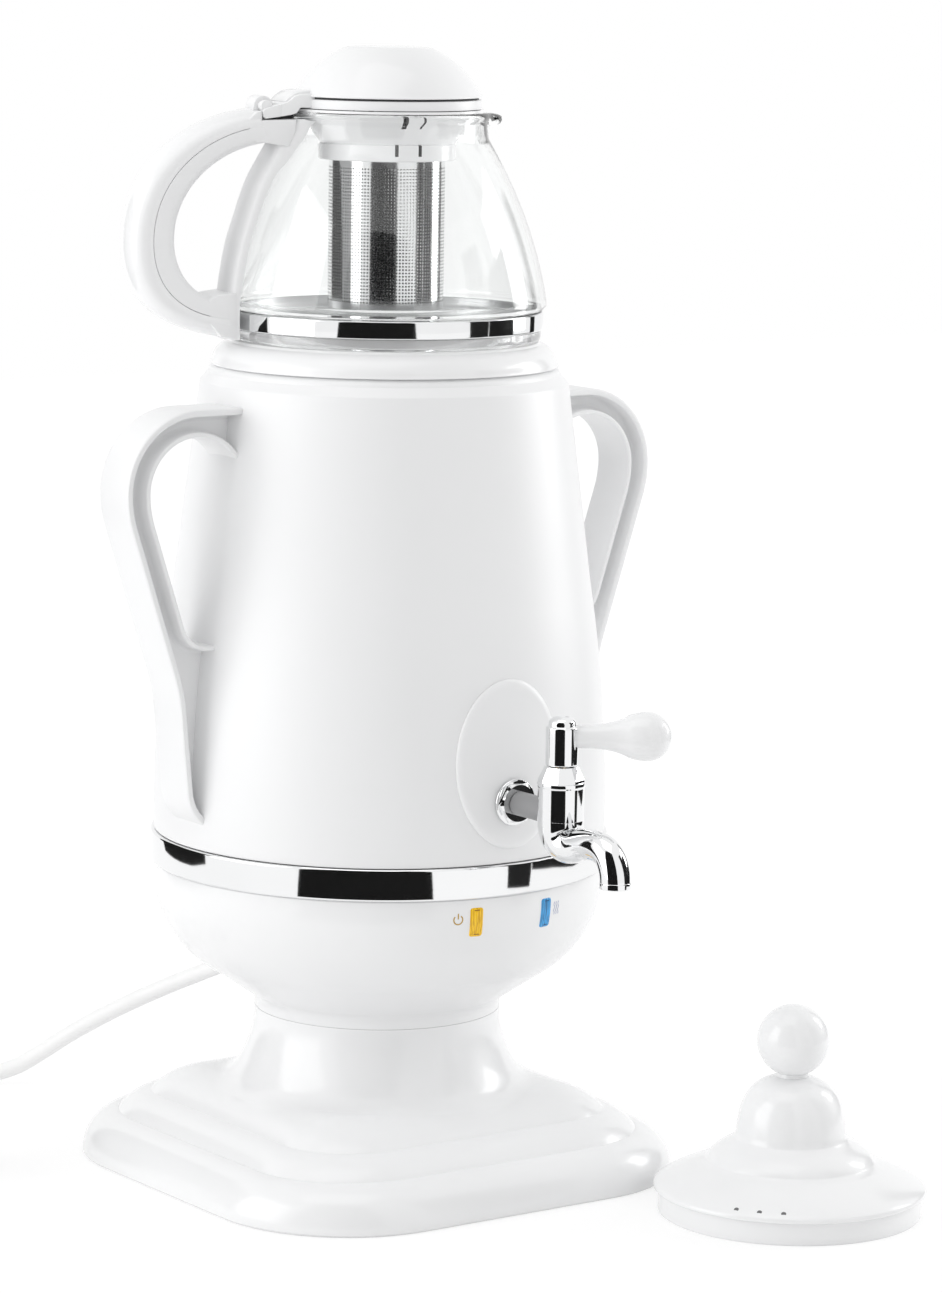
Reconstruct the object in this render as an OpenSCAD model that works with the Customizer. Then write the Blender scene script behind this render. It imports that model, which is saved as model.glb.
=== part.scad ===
// Electric samovar with a glass teapot on top: a boiler with a tap, two side
// handles and a stepped square base, the teapot with its strainer and hinged
// lid, and the boiler's own lid lying beside the base.
// Millimetres, +Z up. Origin: centre of the base, on the surface it stands on.
// The tap faces -Y, the handles are at +X and -X, the cord leaves towards +Y.

/* [Base and neck] */
// Half of the square base's width, at its lowest step
base_half = 105.8; // [98:0.2:114]
// Offset of the corners' centre from the base's middle, along X and Y
corner_offset = 47; // [40:0.5:54]
// Rounding radius of the lowest step
step1_r = 17.2; // [14:0.2:20]
// Rounding radius of the middle step
step2_r = 22.7; // [20:0.1:24.5]
// Rounding radius of the top step
step3_r = 33.5; // [31:0.5:36]
// Wall of the base moulding
base_wall = 3; // [2:0.1:4]
// Bevel under the rim that the base stands on
rim_bevel = 1; // [0.5:0.1:1.2]
// Radius of the feet
foot_r = 9; // [6:0.5:12]
// Distance of each foot from the middle, along X and Y
foot_offset = 62; // [50:1:68]
// Radius of the neck where it meets the bowl
neck_r = 51.5; // [46:0.5:56]
// Radius of the neck's concave flare
flare_r = 47; // [40:1:55]
// Height of the seam between neck and bowl
neck_top_z = 67.6; // [64:0.2:74]

/* [Bowl and band] */
// Outer radius of the bowl at its rim
bowl_r = 94; // [88:0.5:100]
// Height of the bowl's rim
bowl_top_z = 130; // [126:0.5:136]
// Wall of the bowl and of the body
shell_wall = 2.5; // [2:0.1:3.5]
// Outer radius of the chrome band
band_r = 95.3; // [90:0.1:102]
// Height of the chrome band
band_h = 13.2; // [10:0.2:18]
// Width of an indicator lens
lens_w = 5; // [4:0.1:7]
// Height of an indicator lens
lens_h = 12; // [9:0.5:15]
// Height of the middle of the lenses
lens_z = 120.4; // [118:0.2:122]
// Angle of the amber lens from the tap's side
amber_turn = 9.5; // [8:0.5:12]
// Angle of the blue lens from the tap's side
blue_turn = 12; // [8:0.5:14]

/* [Body] */
// Outer radius of the body at the bottom
body_bottom_r = 94.1; // [88:0.1:100]
// Outer radius of the body just under its shoulder
body_top_r = 76; // [71:0.2:82]
// Height of the body's top face
body_top_z = 337; // [320:1:350]
// Taper of the body's upper part, in degrees from vertical
body_taper = 9; // [7:0.1:11]
// Outer radius of the collar on top of the body
collar_r = 71.5; // [68:0.5:74]
// Height of the collar above the body
collar_h = 10; // [8:0.5:13]
// Radius of the collar's flat top edge
collar_top_r = 64; // [62:0.5:66]
// Radius of the recess that takes the lid or the teapot
recess_r = 56.6; // [54:0.2:59]
// Depth of that recess
recess_depth = 6; // [4:0.5:8]
// Radius of the opening into the tank
mouth_r = 54.4; // [50:0.2:56]
// Outer radius of the water tank at its bottom
tank_bottom_r = 80; // [74:0.5:84]
// Outer radius of the water tank at its rim
tank_top_r = 65; // [61:0.5:67]
// Height of the tank's bottom
tank_bottom_z = 150; // [146:1:156]
// Wall of the tank
tank_wall = 1; // [0.8:0.1:1.5]

/* [Body handles] */
// Reach of a handle from the middle of the body
handle_reach = 130; // [124:1:140]
// Height of the top of a handle
handle_top_z = 323; // [312:1:328]
// Radius of the handle's outer bend
handle_bend_r = 33; // [29:0.5:37]
// Depth of the handle, from its outer face to the finger gap
handle_depth = 11; // [9:0.5:13]
// Width of the flanges
flange_w = 22; // [18:1:28]
// Thickness of the outer flange
outer_flange_t = 2.8; // [2:0.1:3.5]
// Thickness of the inner flange
inner_flange_t = 2; // [1.6:0.1:3]
// Thickness of the web between the flanges
web_t = 4.4; // [3:0.2:7]
// Slope of the handle's straight stretch, in degrees from vertical
handle_slope = 18.4; // [16:0.2:20]

/* [Tap] */
// Distance of the tap's upright axis from the middle of the body
tap_reach = 127; // [122:0.5:134]
// Height of the tap's stem
tap_z = 168.5; // [166:0.5:176]
// Radius of the tap's barrel
barrel_r = 9.3; // [8.5:0.1:10.5]
// Radius of the valve plug
plug_valve_r = 6; // [5:0.1:6.5]
// Running clearance of the plug in its bore
plug_gap = 0.05; // [0.02:0.01:0.1]
// Outer radius of the spout
spout_r = 6.1; // [5:0.1:7]
// Radius of the water way
water_way_r = 3.8; // [3:0.1:4.2]
// Radius of the spout's bend
spout_bend_r = 15; // [12:0.5:18]
// Length of the spout from the barrel's axis to its bend
spout_len = 21.4; // [17:0.2:26]
// Radius of the cap over the valve stem
cap_r = 6; // [5.5:0.1:7]
// Length of the lever from the tap's upright axis
lever_len = 43.7; // [38:0.1:52]
// Radius of the knob on the lever's end
lever_knob_r = 9.8; // [8:0.1:11.5]
// Radius of the lever's rod
lever_rod_r = 4.75; // [4:0.05:5.5]
// Angle of the closed lever from the spout, towards +X
lever_turn = 60; // [45:5:90]
// Half of the escutcheon's width
escutcheon_half_w = 25; // [20:0.5:30]
// Half of the escutcheon's height
escutcheon_half_h = 34.2; // [28:0.2:40]
// Thickness of the escutcheon in its middle
escutcheon_t = 2; // [1.6:0.1:3]

/* [Teapot] */
// Angle that the teapot is turned by, about its axis
pot_turn = -15; // [-30:1:30]
// Outer radius of the teapot at its widest
pot_r = 66.2; // [62:0.2:70]
// Radius of the glass wall's big curve
pot_curve_r = 177.7; // [150:0.1:220]
// Outer radius of the glass neck
pot_neck_r = 40.6; // [38:0.1:43]
// Height of the glass from its foot to its rim
pot_glass_h = 87; // [80:1:95]
// Wall of the glass
glass_wall = 2.2; // [1.8:0.1:3]
// Outer radius of the teapot's foot ring
pot_foot_r = 64.1; // [60:0.1:67]
// Height of the teapot's foot ring
pot_foot_h = 4.9; // [4:0.1:7]
// Height of the teapot's chrome band
pot_band_h = 7.2; // [5:0.1:10]
// Reach of the teapot's handle from its axis
pot_handle_reach = 112.2; // [104:0.2:122]
// Half of the grip's width
grip_half_w = 12; // [9:0.5:15]
// Reach of the pouring lip from the axis
lip_reach = 49.6; // [46:0.1:53]

/* [Strainer and teapot lid] */
// Radius of the strainer tube
strainer_r = 23.8; // [20:0.1:26]
// Length of the strainer tube below its holder
strainer_len = 60.4; // [50:0.2:62]
// Wall of the strainer tube
strainer_wall = 0.6; // [0.4:0.1:1]
// Outer radius of the holder's lower ring
holder_ring_r = 28.2; // [26:0.1:30]
// Radius of the lid's rim
pot_lid_r = 38.9; // [37:0.1:42]
// Height of the lid's dome above its rim
pot_lid_h = 20; // [15:0.5:26]
// Radius of the flat on top of the lid
pot_lid_flat_r = 17; // [12:0.5:22]
// Height of the lid's skirt
skirt_h = 4.6; // [3.5:0.1:6]

/* [Boiler lid] */
// Radius of the boiler lid's flange
tank_lid_r = 55.6; // [52:0.1:58]
// Overall height of the boiler lid
tank_lid_h = 85.7; // [78:0.1:95]
// Radius of the ball knob
ball_r = 14.7; // [12:0.1:17]
// Place of the boiler lid's axis along X
tank_lid_x = 96.8; // [90:0.2:110]
// Place of the boiler lid's axis along Y
tank_lid_y = -157.6; // [-180:0.2:-154]

/* [Cord] */
// Diameter of the mains cord
cord_d = 7.2; // [6:0.1:8]
// Mean diameter of the coil, in cord diameters
coil_ratio = 10.6; // [10:0.1:12]

/* [Hidden] */
$fn = 96;

white = "whitesmoke";
chrome = "silver";
steel = "lightslategray";
eps = 0.01;
fit_gap = 0.3;        // between bodies that lift apart
push_gap = 0.1;       // between a screw or a pin and its hole

// Points on an arc from angle a0 to a1
function arc(cx, cy, r, a0, a1, n = 12) =
    [for (i = [0:n]) let (a = a0 + (a1 - a0) * i / n) [cx + r * cos(a), cy + r * sin(a)]];

// Points on a cubic curve, by its end points and their control points
function bezier(p, n = 12) =
    [for (i = [0:n]) let (t = i / n, u = 1 - t)
        u * u * u * p[0] + 3 * u * u * t * p[1] + 3 * u * t * t * p[2] + t * t * t * p[3]];

function reverse(list) = [for (i = [len(list) - 1:-1:0]) list[i]];

// ---- base ----
corner_r = base_half - corner_offset;
step1_z = 1.5;
step2_z = 4.4;
step3_z = 3;
step1_cx = corner_r - step1_r;
step2_cx = corner_r - 32.9;
step3_cx = corner_r - 52.6;
base_top_z = step3_z + step3_r;
cover_z = 1.4;
cover_t = 2.4;
cover_gap = 0.3;
screw_r = 1.9;
screw_head_r = 3.6;

// Half section of the three steps beyond the corners' centre, less a wall
function steps(wall) = concat(
    [[0, 0], [step1_cx + step1_r - wall - rim_bevel, 0], [step1_cx + step1_r - wall, rim_bevel]],
    arc(step1_cx, step1_z, step1_r - wall, 0, 83, 10),
    arc(step2_cx, step2_z, step2_r - wall, 38.4, 80.1, 7),
    arc(step3_cx, step3_z, step3_r - wall, 45.2, 90, 8),
    [[0, step3_z + step3_r - wall]]);

// A plate with round corners, centred on the origin: overall size a by b
module round_plate(a, b, r, h) {
    translate([-a / 2, r - b / 2, 0]) cube([a, b - 2 * r, h]);
    translate([r - a / 2, -b / 2, 0]) cube([a - 2 * r, b, h]);
    for (x = [-1, 1]) for (y = [-1, 1])
        translate([x * (a / 2 - r), y * (b / 2 - r), 0]) cylinder(r = r, h = h);
}

// A half section carried round a square with round corners
module square_sweep(core, section) {
    for (k = [0:3]) rotate(90 * k) {
        translate([core, core, 0]) rotate_extrude(angle = 90) polygon(section);
        translate([core, core, 0]) rotate([90, 0, 0]) linear_extrude(2 * core) polygon(section);
    }
}

// ---- neck and bowl ----
neck_flare_z = step3_z + step3_r - 3.2;
flare_end = asin((neck_top_z - neck_flare_z) / flare_r);
ledge_t = 3;
ledge_r = 30;
bowl_floor_t = 2.6;
bowl_screw_r = 38;
bowl_curve_r = 44.2;
bowl_slope = 56;
bowl_fillet_r = 6;
bowl_curve_z = bowl_top_z - 5.3;
bowl_line_r = bowl_r - bowl_curve_r * (1 - cos(bowl_slope));
bowl_line_z = bowl_curve_z - bowl_curve_r * sin(bowl_slope);
fillet_start_r = neck_r + bowl_fillet_r * (1 - cos(bowl_slope));
fillet_start_z = bowl_line_z - (bowl_line_r - fillet_start_r) / tan(bowl_slope);
fillet_z = fillet_start_z - bowl_fillet_r * sin(bowl_slope);

// Outer line of the bowl from its rim down to its foot, less a wall
function bowl_line(wall) = concat(
    [[bowl_r - wall, bowl_top_z]],
    arc(bowl_r - bowl_curve_r, bowl_curve_z, bowl_curve_r - wall, 0, -bowl_slope, 14),
    arc(neck_r + bowl_fillet_r, fillet_z, bowl_fillet_r + wall, 180 - bowl_slope, 180, 6));

lens_pocket = 0.1;
lens_t = shell_wall;

// ---- body ----
band_z = bowl_top_z + 0.2;
body_z = band_z + band_h;
tongue_h = 6;
shoulder_r = 4;
body_curve_end_z = body_z + 8;
body_cone_z = 246;
body_cone_r = body_top_r + (body_top_z - 7 - body_cone_z) * tan(body_taper);
body_curve_r = (body_cone_z - body_curve_end_z) / sin(body_taper);
seam_r = collar_r + 0.5;

// Outer line of the body from bottom to top, less a wall
function body_line(wall) = concat(
    [[body_bottom_r - wall, body_z]],
    arc(body_bottom_r - body_curve_r, body_curve_end_z, body_curve_r - wall, 0, body_taper, 8),
    [[body_top_r - wall, body_top_z - 7]],
    arc(seam_r - shoulder_r + 0.6 - wall, body_top_z - shoulder_r, shoulder_r, 10, 80, 5));

// Radius of the body's outer face at a height on its lower part
function body_r_at(z) = z < body_curve_end_z ? body_bottom_r
    : z < body_cone_z
        ? body_bottom_r - body_curve_r + sqrt(pow(body_curve_r, 2) - pow(z - body_curve_end_z, 2))
        : body_cone_r - (z - body_cone_z) * tan(body_taper);

top_flange_t = 3;
top_flange_r = 67.5;
tank_rim_r = 70;
tank_rim_z = body_top_z;
gasket_t = 1;
collar_z = body_top_z;
collar_top_z = collar_z + collar_h;
collar_lip_z = body_top_z - 3;
lip_t = 2;
boss_r = 9;
boss_end = body_bottom_r - shell_wall - 1.8;
boss_len = 13;
heat_plate_r = 60;
heat_plate_t = 3.9;
element_r = 48;
element_tube_r = 3.5;
stud_x = 68;
stud_r = 2.5;
bar_t = 2.9;
bar_w = 16;
tongue_z = bowl_top_z - tongue_h;
bar_z = tongue_z - push_gap - bar_t;

// ---- body handles ----
bend_z = handle_top_z - handle_bend_r;
bend_x = handle_reach - handle_bend_r;
ease_r = 44;
run_end_z = 216;
foot_bend_r = 70;
foot_slope = 5.7;
foot_z = 168;
tip_r = 20;
gap_bend_r = handle_bend_r - handle_depth;
gap_ease_r = 38.7;
gap_foot_r = 12;
gap_foot_z = 239.3;
root_x = 60;
ease_x = handle_reach - ease_r;
run_x = ease_x + ease_r * cos(handle_slope);
run_z = bend_z - ease_r * sin(handle_slope);
run_end_x = run_x - (run_z - run_end_z) * tan(handle_slope);
foot_bend_x = run_end_x + foot_bend_r * cos(handle_slope);
foot_bend_z = run_end_z - foot_bend_r * sin(handle_slope);
foot_top_x = foot_bend_x - foot_bend_r * cos(foot_slope);
foot_top_z = foot_bend_z + foot_bend_r * sin(foot_slope);
foot_x = foot_top_x - (foot_top_z - foot_z) * tan(foot_slope);

// Outer line of a handle, less an inset
function handle_outer(inset) = concat(
    [[root_x, handle_top_z - inset]],
    arc(bend_x, bend_z, handle_bend_r - inset, 90, 0, 14),
    arc(ease_x, bend_z, ease_r - inset, 0, -handle_slope, 5),
    arc(foot_bend_x, foot_bend_z, foot_bend_r + inset, 180 - handle_slope, 180 - foot_slope, 4),
    arc(foot_x - tip_r * cos(foot_slope), foot_z + tip_r * sin(foot_slope), tip_r - inset,
        -foot_slope, -55, 6),
    [[root_x, foot_z - 16]]);

gap_ease_x = bend_x + gap_bend_r - gap_ease_r;
gap_run_x = gap_ease_x + gap_ease_r * cos(handle_slope);
gap_run_z = bend_z - gap_ease_r * sin(handle_slope);
gap_foot_top_z = gap_foot_z - gap_foot_r * sin(handle_slope);
gap_foot_top_x = gap_run_x - (gap_run_z - gap_foot_top_z) * tan(handle_slope);
gap_foot_x = gap_foot_top_x - gap_foot_r * cos(handle_slope);

// Line of the finger gap, widened by an offset, closed at x0 inside the body
function handle_gap(out, x0 = root_x) = concat(
    arc(bend_x, bend_z, gap_bend_r + out, 150, 0, 16),
    arc(gap_ease_x, bend_z, gap_ease_r + out, 0, -handle_slope, 5),
    arc(gap_foot_x, gap_foot_z, gap_foot_r + out, -handle_slope, -90, 7),
    [[x0, gap_foot_z - gap_foot_r - out], [x0, bend_z]]);

handle_screw_z = [handle_top_z - handle_depth / 2 + 1, 188];

// ---- tap ----
stem_r = 3.9;
stem_bore_r = 2.6;
stem_inner_end = 70;
nut_t = 3.2;
nut_af = 16;
back_nut_t = 3.5;
washer_t = 1;
washer_r = 7.6;
bonnet_z = tap_z + 13.4;
bonnet_h = 6.2;
cap_z = bonnet_z + bonnet_h + fit_gap;
cap_top_z = cap_z + 14.6;
cap_dome_h = 4;
spout_z = tap_z - 9;
spout_tip_z = spout_z - spout_bend_r;
valve_floor_z = spout_z + 5;
valve_stem_r = 3;
lever_z = cap_z + 11.4;
escutcheon_z = tap_z + 15;
nut_start = body_r_at(tap_z) + escutcheon_t + 0.1;

// ---- teapot ----
pot_z = collar_top_z + fit_gap;
pot_band_z = pot_z + pot_foot_h;
glass_z = pot_z + 6;
glass_rim_z = glass_z + pot_glass_h;
belly_z = pot_band_z + pot_band_h + 1.6;
glass_foot_r = pot_foot_r - 0.2;
curve_z = belly_z - 26.6;
curve_drop = belly_z + 3 - curve_z;
curve_cx = pot_r - sqrt(pow(pot_curve_r, 2) - pow(curve_drop, 2));
neck_z = glass_rim_z - 8.5;
spigot_r = recess_r - fit_gap - 0.1;
strap_half_w = 15.5;
strap_t = 4.6;
glass_gap = 0.2;

// Radius of the glass wall's outside at a height above its widest part
function glass_r_at(z) = curve_cx + sqrt(pow(pot_curve_r, 2) - pow(z - curve_z, 2));

neck_blend_z = neck_z - 2.5;

// Outer line of the glass from its foot to its rim, less a wall
function glass_line(wall) = concat(
    [[0, glass_z + wall], [glass_foot_r - 5, glass_z + wall]],
    arc(glass_foot_r - 5, glass_z + 5, 5 - wall, -90, 0, 5),
    [[glass_foot_r - wall, belly_z - 1.4]],
    [for (i = [0:14]) let (z = belly_z + 1.2 + (neck_blend_z - belly_z - 1.2) * i / 14)
        [glass_r_at(z) - wall, z]],
    [[pot_neck_r - wall, neck_z], [pot_neck_r - wall, glass_rim_z - 3.2]]);

// ---- teapot handle ----
grip_top_z = glass_rim_z + 1;
grip_bottom_z = pot_z + 1.2;
grip_mid_z = pot_z + 40.7;
grip_end_r = 60;
grip_foot_r = 67;
hinge_r = 55.2;
hinge_z = grip_top_z + 1.3;
knuckle_r = 4.2;
hinge_pin_r = 1.5;
lug_half_w = 5.6;

grip_outer = concat(
    bezier([[grip_end_r, grip_top_z], [grip_end_r + 28.8, grip_top_z - 3.5],
        [pot_handle_reach, grip_mid_z + 29.5], [pot_handle_reach, grip_mid_z]], 14),
    [for (p = bezier([[pot_handle_reach, grip_mid_z], [pot_handle_reach, grip_mid_z - 25],
        [grip_foot_r + 30, grip_bottom_z + 3.6], [grip_foot_r, grip_bottom_z]], 12))
        if (p[1] < grip_mid_z - eps) p]);
grip_in = pot_handle_reach - 18.9;
grip_inner = concat(
    bezier([[54.5, grip_top_z - 13.5], [73.5, grip_top_z - 15.4],
        [grip_in, grip_mid_z + 23], [grip_in, grip_mid_z + 1]], 14),
    [for (p = bezier([[grip_in, grip_mid_z + 1], [grip_in, grip_mid_z - 12],
        [85, pot_z + 18.3], [74, pot_z + 18.3]], 12)) if (p[1] < grip_mid_z + 1 - eps) p]);

// Section of the grip's inner half and of its cover: [share of depth, half width]
grip_half = [[0, 0.84], [0.1, 1], [0.5, 1]];
cover_half = [[0.5, 1], [0.64, 1], [0.8, 0.9], [0.92, 0.66], [1, 0.3]];

// A solid between two lines: every station is a section across both
module two_line_sweep(inner, outer, half, w) {
    n = len(inner);
    section = concat([for (p = half) [p[0], p[1]]], [for (p = reverse(half)) [p[0], -p[1]]]);
    m = len(section);
    points = [for (i = [0:n - 1]) for (p = section)
        let (c = inner[i] + (outer[i] - inner[i]) * p[0]) [-c[0], p[1] * w, c[1]]];
    sides = [for (i = [0:n - 2]) for (j = [0:m - 1])
        let (a = i * m + j, b = i * m + (j + 1) % m) each [[a, b, b + m], [a, b + m, a + m]]];
    polyhedron(concat(points), concat([[for (j = [m - 1:-1:0]) j]], sides,
        [[for (j = [0:m - 1]) (n - 1) * m + j]]), convexity = 6);
}

// ---- strainer and teapot lid ----
holder_top_z = glass_rim_z + 1;
holder_rim_r = pot_neck_r - 1;
holder_wall = 1.6;
holder_in_r = min(pot_neck_r - glass_wall - 1.2 - holder_wall, pot_lid_r - 3);
holder_cone_top_z = glass_rim_z - 4.5;
holder_cone_r = 33;
holder_ring_top_z = holder_cone_top_z - 8.4;
holder_ring_h = 7;
holder_bottom_z = holder_ring_top_z - holder_ring_h;
latch_slot_w = 1.9;
skirt_z = holder_top_z + fit_gap;
skirt_top_z = skirt_z + skirt_h;
skirt_r = pot_lid_r - 0.6;
dome_rise = pot_lid_h;
dome_c = (pow(pot_lid_r, 2) - pow(pot_lid_flat_r, 2) - pow(dome_rise, 2)) / (2 * dome_rise);
dome_sphere_r = sqrt(pow(pot_lid_r, 2) + pow(dome_c, 2));
dome_z = skirt_top_z + 0.1;
dome_rim_t = 1.2;
lid_wall = 2;

// ---- boiler lid ----
lid_ring_r = mouth_r - 0.8;
lid_ring_h = 9.3;
steam_hole_r = 0.9;
ball_z = tank_lid_h - ball_r;

// ---- cord: the route's points from the gland to the coil, and on to the plug ----
cord_r = cord_d / 2;
gland_start = [0, 62, 83.2];
gland_drop = 20;
gland_seat = 9;
gland_len = 42;
coil_centre = [-137, 188.5];
coil_mean_r = coil_ratio * cord_d / 2;
cord_route = [[0, 101.5, 68.8], [0, 106, 67.2], [-1, 111, 65], [-4, 119, 60.8], [-9, 129, 55.6],
    [-15, 138, 50.6], [-22, 147, 45], [-30, 156, 38.8], [-38, 165, 32], [-47, 174, 24.2],
    [-56, 183, 15.4], [-64, 190, 8.8], [-73, 197, 5], [-84, 204, 3.7], [-96, 211.5, 3.6],
    [-109.5, 219.5, 3.6]];
tail_route = [
    [-175.2, 188, 9.8], [-175.2, 180, 10.4], [-175.2, 172, 10.8], [-175.2, 165, 10],
    [-175, 158, 7.9], [-174.8, 151, 5.3], [-174.5, 144, 3.8], [-174.2, 137, 4], [-174, 130, 5.6],
    [-174, 126, 6.7]];
plug_start = [-174, 126, 6.7];
plug_tilt = 15;

function unit(v) = v / norm(v);
function tangent(route, i) =
    unit(route[min(i + 1, len(route) - 1)] - route[max(i - 1, 0)]);

// A round tube along a route, with level rings of sides
module route_tube(route, r, sides = 12) {
    n = len(route);
    rings = [for (i = [0:n - 1]) let (t = tangent(route, i), s = unit(cross(t, [0, 0, 1])),
        u = cross(s, t)) for (k = [0:sides - 1]) let (a = 360 * k / sides)
        route[i] + r * (cos(a) * s + sin(a) * u)];
    walls = [for (i = [0:n - 2]) for (k = [0:sides - 1])
        let (a = i * sides + k, b = i * sides + (k + 1) % sides)
        each [[a, a + sides, b + sides], [a, b + sides, b]]];
    polyhedron(rings, concat([[for (k = [0:sides - 1]) k]], walls,
        [[for (k = [sides - 1:-1:0]) (n - 1) * sides + k]]), convexity = 10);
}

// Children laid along the gland's axis, which becomes their +Z
module on_gland_axis() translate(gland_start) rotate([-90 - gland_drop, 0, 0]) children();

// Children laid along the plug's axis, which becomes their +Z
module on_plug_axis() translate(plug_start) rotate([90 - plug_tilt, 0, 0]) children();

// ================= base, bowl and body =================

module base_shell() {
    color(white) difference() {
        union() {
            square_sweep(corner_offset, steps(0));
            translate([-corner_offset, -corner_offset, 0])
                cube([2 * corner_offset, 2 * corner_offset, base_top_z]);
            rotate_extrude() polygon(concat([[0, neck_flare_z], [0, neck_top_z]],
                arc(neck_r + flare_r, neck_top_z, flare_r, 180, 180 + flare_end, 12)));
        }
        square_sweep(corner_offset, steps(base_wall));
        translate([-corner_offset, -corner_offset, -eps])
            cube([2 * corner_offset, 2 * corner_offset, base_top_z - base_wall + eps]);
        rotate_extrude() polygon(concat([[0, neck_flare_z - 6], [0, neck_top_z - ledge_t]],
            arc(neck_r + flare_r, neck_top_z - ledge_t, flare_r + base_wall, 180,
                180 + flare_end - 3, 10),
            [[neck_r + 8, neck_flare_z - 6]]));
        cylinder(r = ledge_r, h = 100);
        for (k = [0:2]) rotate(120 * k + 30) translate([bowl_screw_r, 0, 50])
            cylinder(r = screw_r + push_gap, h = 30);
    }
    color(white) for (k = [0:3]) rotate(90 * k + 45) translate([foot_offset * sqrt(2) - 24, 0, 0])
        difference() {
            translate([0, 0, cover_z + cover_t]) cylinder(r = 5, h = base_top_z - base_wall - cover_z
                - cover_t);
            cylinder(r = screw_r + push_gap, h = 20);
        }
}

module bottom_cover() {
    inset = base_wall + cover_gap;
    color(white) difference() {
        translate([0, 0, cover_z]) round_plate(2 * (base_half - inset), 2 * (base_half - inset),
            corner_r - inset, cover_t);
        for (k = [0:3]) rotate(90 * k + 45) {
            translate([foot_offset * sqrt(2), 0, -eps]) cylinder(r = foot_r + push_gap, h = 2.4);
            translate([foot_offset * sqrt(2) - 24, 0, 0]) cylinder(r = screw_r + push_gap, h = 6);
        }
    }
}

module base_feet() {
    color("dimgray") for (k = [0:3]) rotate(90 * k + 45) translate([foot_offset * sqrt(2), 0, 0])
        rotate_extrude() polygon([[0, 0], [foot_r - 1, 0], [foot_r, 0.8], [foot_r, 2.3], [0, 2.3]]);
}

module pan_screw(shank) {
    rotate_extrude() polygon([[0, -2.2], [2.4, -2.2], [screw_head_r, -1.2], [screw_head_r, 0],
        [screw_r, 0], [screw_r, shank - 1.5], [0, shank]]);
}

module base_screws() {
    color(steel) for (k = [0:3]) rotate(90 * k + 45)
        translate([foot_offset * sqrt(2) - 24, 0, cover_z])
        intersection() {
            pan_screw(14);
            translate([0, 0, -1.3]) cylinder(r = 10, h = 20);
        }
}

module bowl_shell() {
    difference() {
        color(white) union() {
            rotate_extrude() polygon(concat(bowl_line(0), [[neck_r, neck_top_z]],
                [[ledge_r, neck_top_z], [ledge_r, neck_top_z + bowl_floor_t]],
                [[neck_r - shell_wall - 1, neck_top_z + bowl_floor_t]],
                reverse(bowl_line(shell_wall))));
            for (k = [0:2]) rotate(120 * k + 30) translate([bowl_screw_r, 0, neck_top_z])
                cylinder(r = 4.4, h = 12);
            intersection() {
                on_gland_axis() translate([0, 0, -6]) cylinder(r = 10, h = gland_seat + 6);
                translate([-20, 0, 60]) cube([40, 90, 60]);
            }
        }
        for (k = [0:2]) rotate(120 * k + 30) translate([bowl_screw_r, 0, neck_top_z - 1])
            cylinder(r = screw_r + push_gap, h = 11);
        on_gland_axis() translate([0, 0, -30]) cylinder(r = 5.2, h = 60);
        for (turn = [-amber_turn, blue_turn]) rotate(turn) translate([0, -bowl_r, lens_z])
            lens_prism(lens_pocket, 14);
    }
}

module bowl_screws() {
    color(steel) for (k = [0:2]) rotate(120 * k + 30)
        translate([bowl_screw_r, 0, neck_top_z - ledge_t]) pan_screw(12);
}

module chrome_band() {
    color(chrome) rotate_extrude() polygon([[bowl_r - 0.8, band_z], [band_r - 0.3, band_z],
        [band_r, band_z + 0.4], [band_r, band_z + band_h - 0.6], [band_r - 0.3, band_z + band_h - 0.2],
        [bowl_r - 0.8, band_z + band_h - 0.2]]);
}

// Upright prism with round corners, centred on the lens and running along Y
module lens_prism(grow, depth) {
    rotate([90, 0, 0]) translate([0, 0, -depth / 2])
        round_plate(lens_w + 2 * grow, lens_h + 2 * grow, 1 + grow, depth);
}

// A lens: the part of the prism that lies in the bowl's wall
module lens() {
    intersection() {
        translate([0, -bowl_r, lens_z]) lens_prism(0, 14);
        rotate_extrude() polygon(concat(bowl_line(-0.15), reverse(bowl_line(lens_t))));
    }
}

module amber_lens() color("orange") rotate(-amber_turn) lens();

module blue_lens() color("dodgerblue") rotate(blue_turn) lens();

module lamp_holders() {
    color("ivory") for (turn = [-amber_turn, blue_turn]) rotate(turn)
        translate([0, -bowl_r + lens_t + 0.9, lens_z]) rotate([-90, 0, 0]) {
            cylinder(r = 3.4, h = 12);
            translate([0, 0, 12]) cylinder(r = 1.2, h = 4);
        }
}

module body_solid(grow) {
    rotate_extrude() polygon(concat([[0, body_z], ], body_line(-grow), [[0, body_top_z]]));
}

module body_shell() {
    spigot_r_out = bowl_r - 0.9;
    color(white) difference() {
        rotate_extrude() polygon(concat(
            [[spigot_r_out, bowl_top_z], [spigot_r_out, body_z]],
            body_line(0),
            [[seam_r, body_top_z], [top_flange_r, body_top_z],
            [top_flange_r, body_top_z - top_flange_t]],
            reverse([for (p = body_line(shell_wall)) if (p[1] < body_top_z - top_flange_t - 1) p]),
            [[bowl_r - shell_wall - 2.8, body_z], [bowl_r - shell_wall - 2.8, tongue_z],
            [bowl_r - shell_wall - 0.3, tongue_z], [bowl_r - shell_wall - 0.3, bowl_top_z]]));
        translate([0, -body_r_at(tap_z), tap_z]) rotate([90, 0, 0])
            cylinder(r = stem_r + 0.6, h = 30, center = true);
        for (side = [0, 180]) rotate(side) for (z = handle_screw_z)
            translate([body_r_at(z) - shell_wall, 0, z]) rotate([0, 90, 0]) {
                cylinder(r = screw_r + push_gap, h = 9);
                translate([0, 0, -9]) cylinder(r = screw_head_r + push_gap, h = 9);
            }
    }
}

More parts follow.
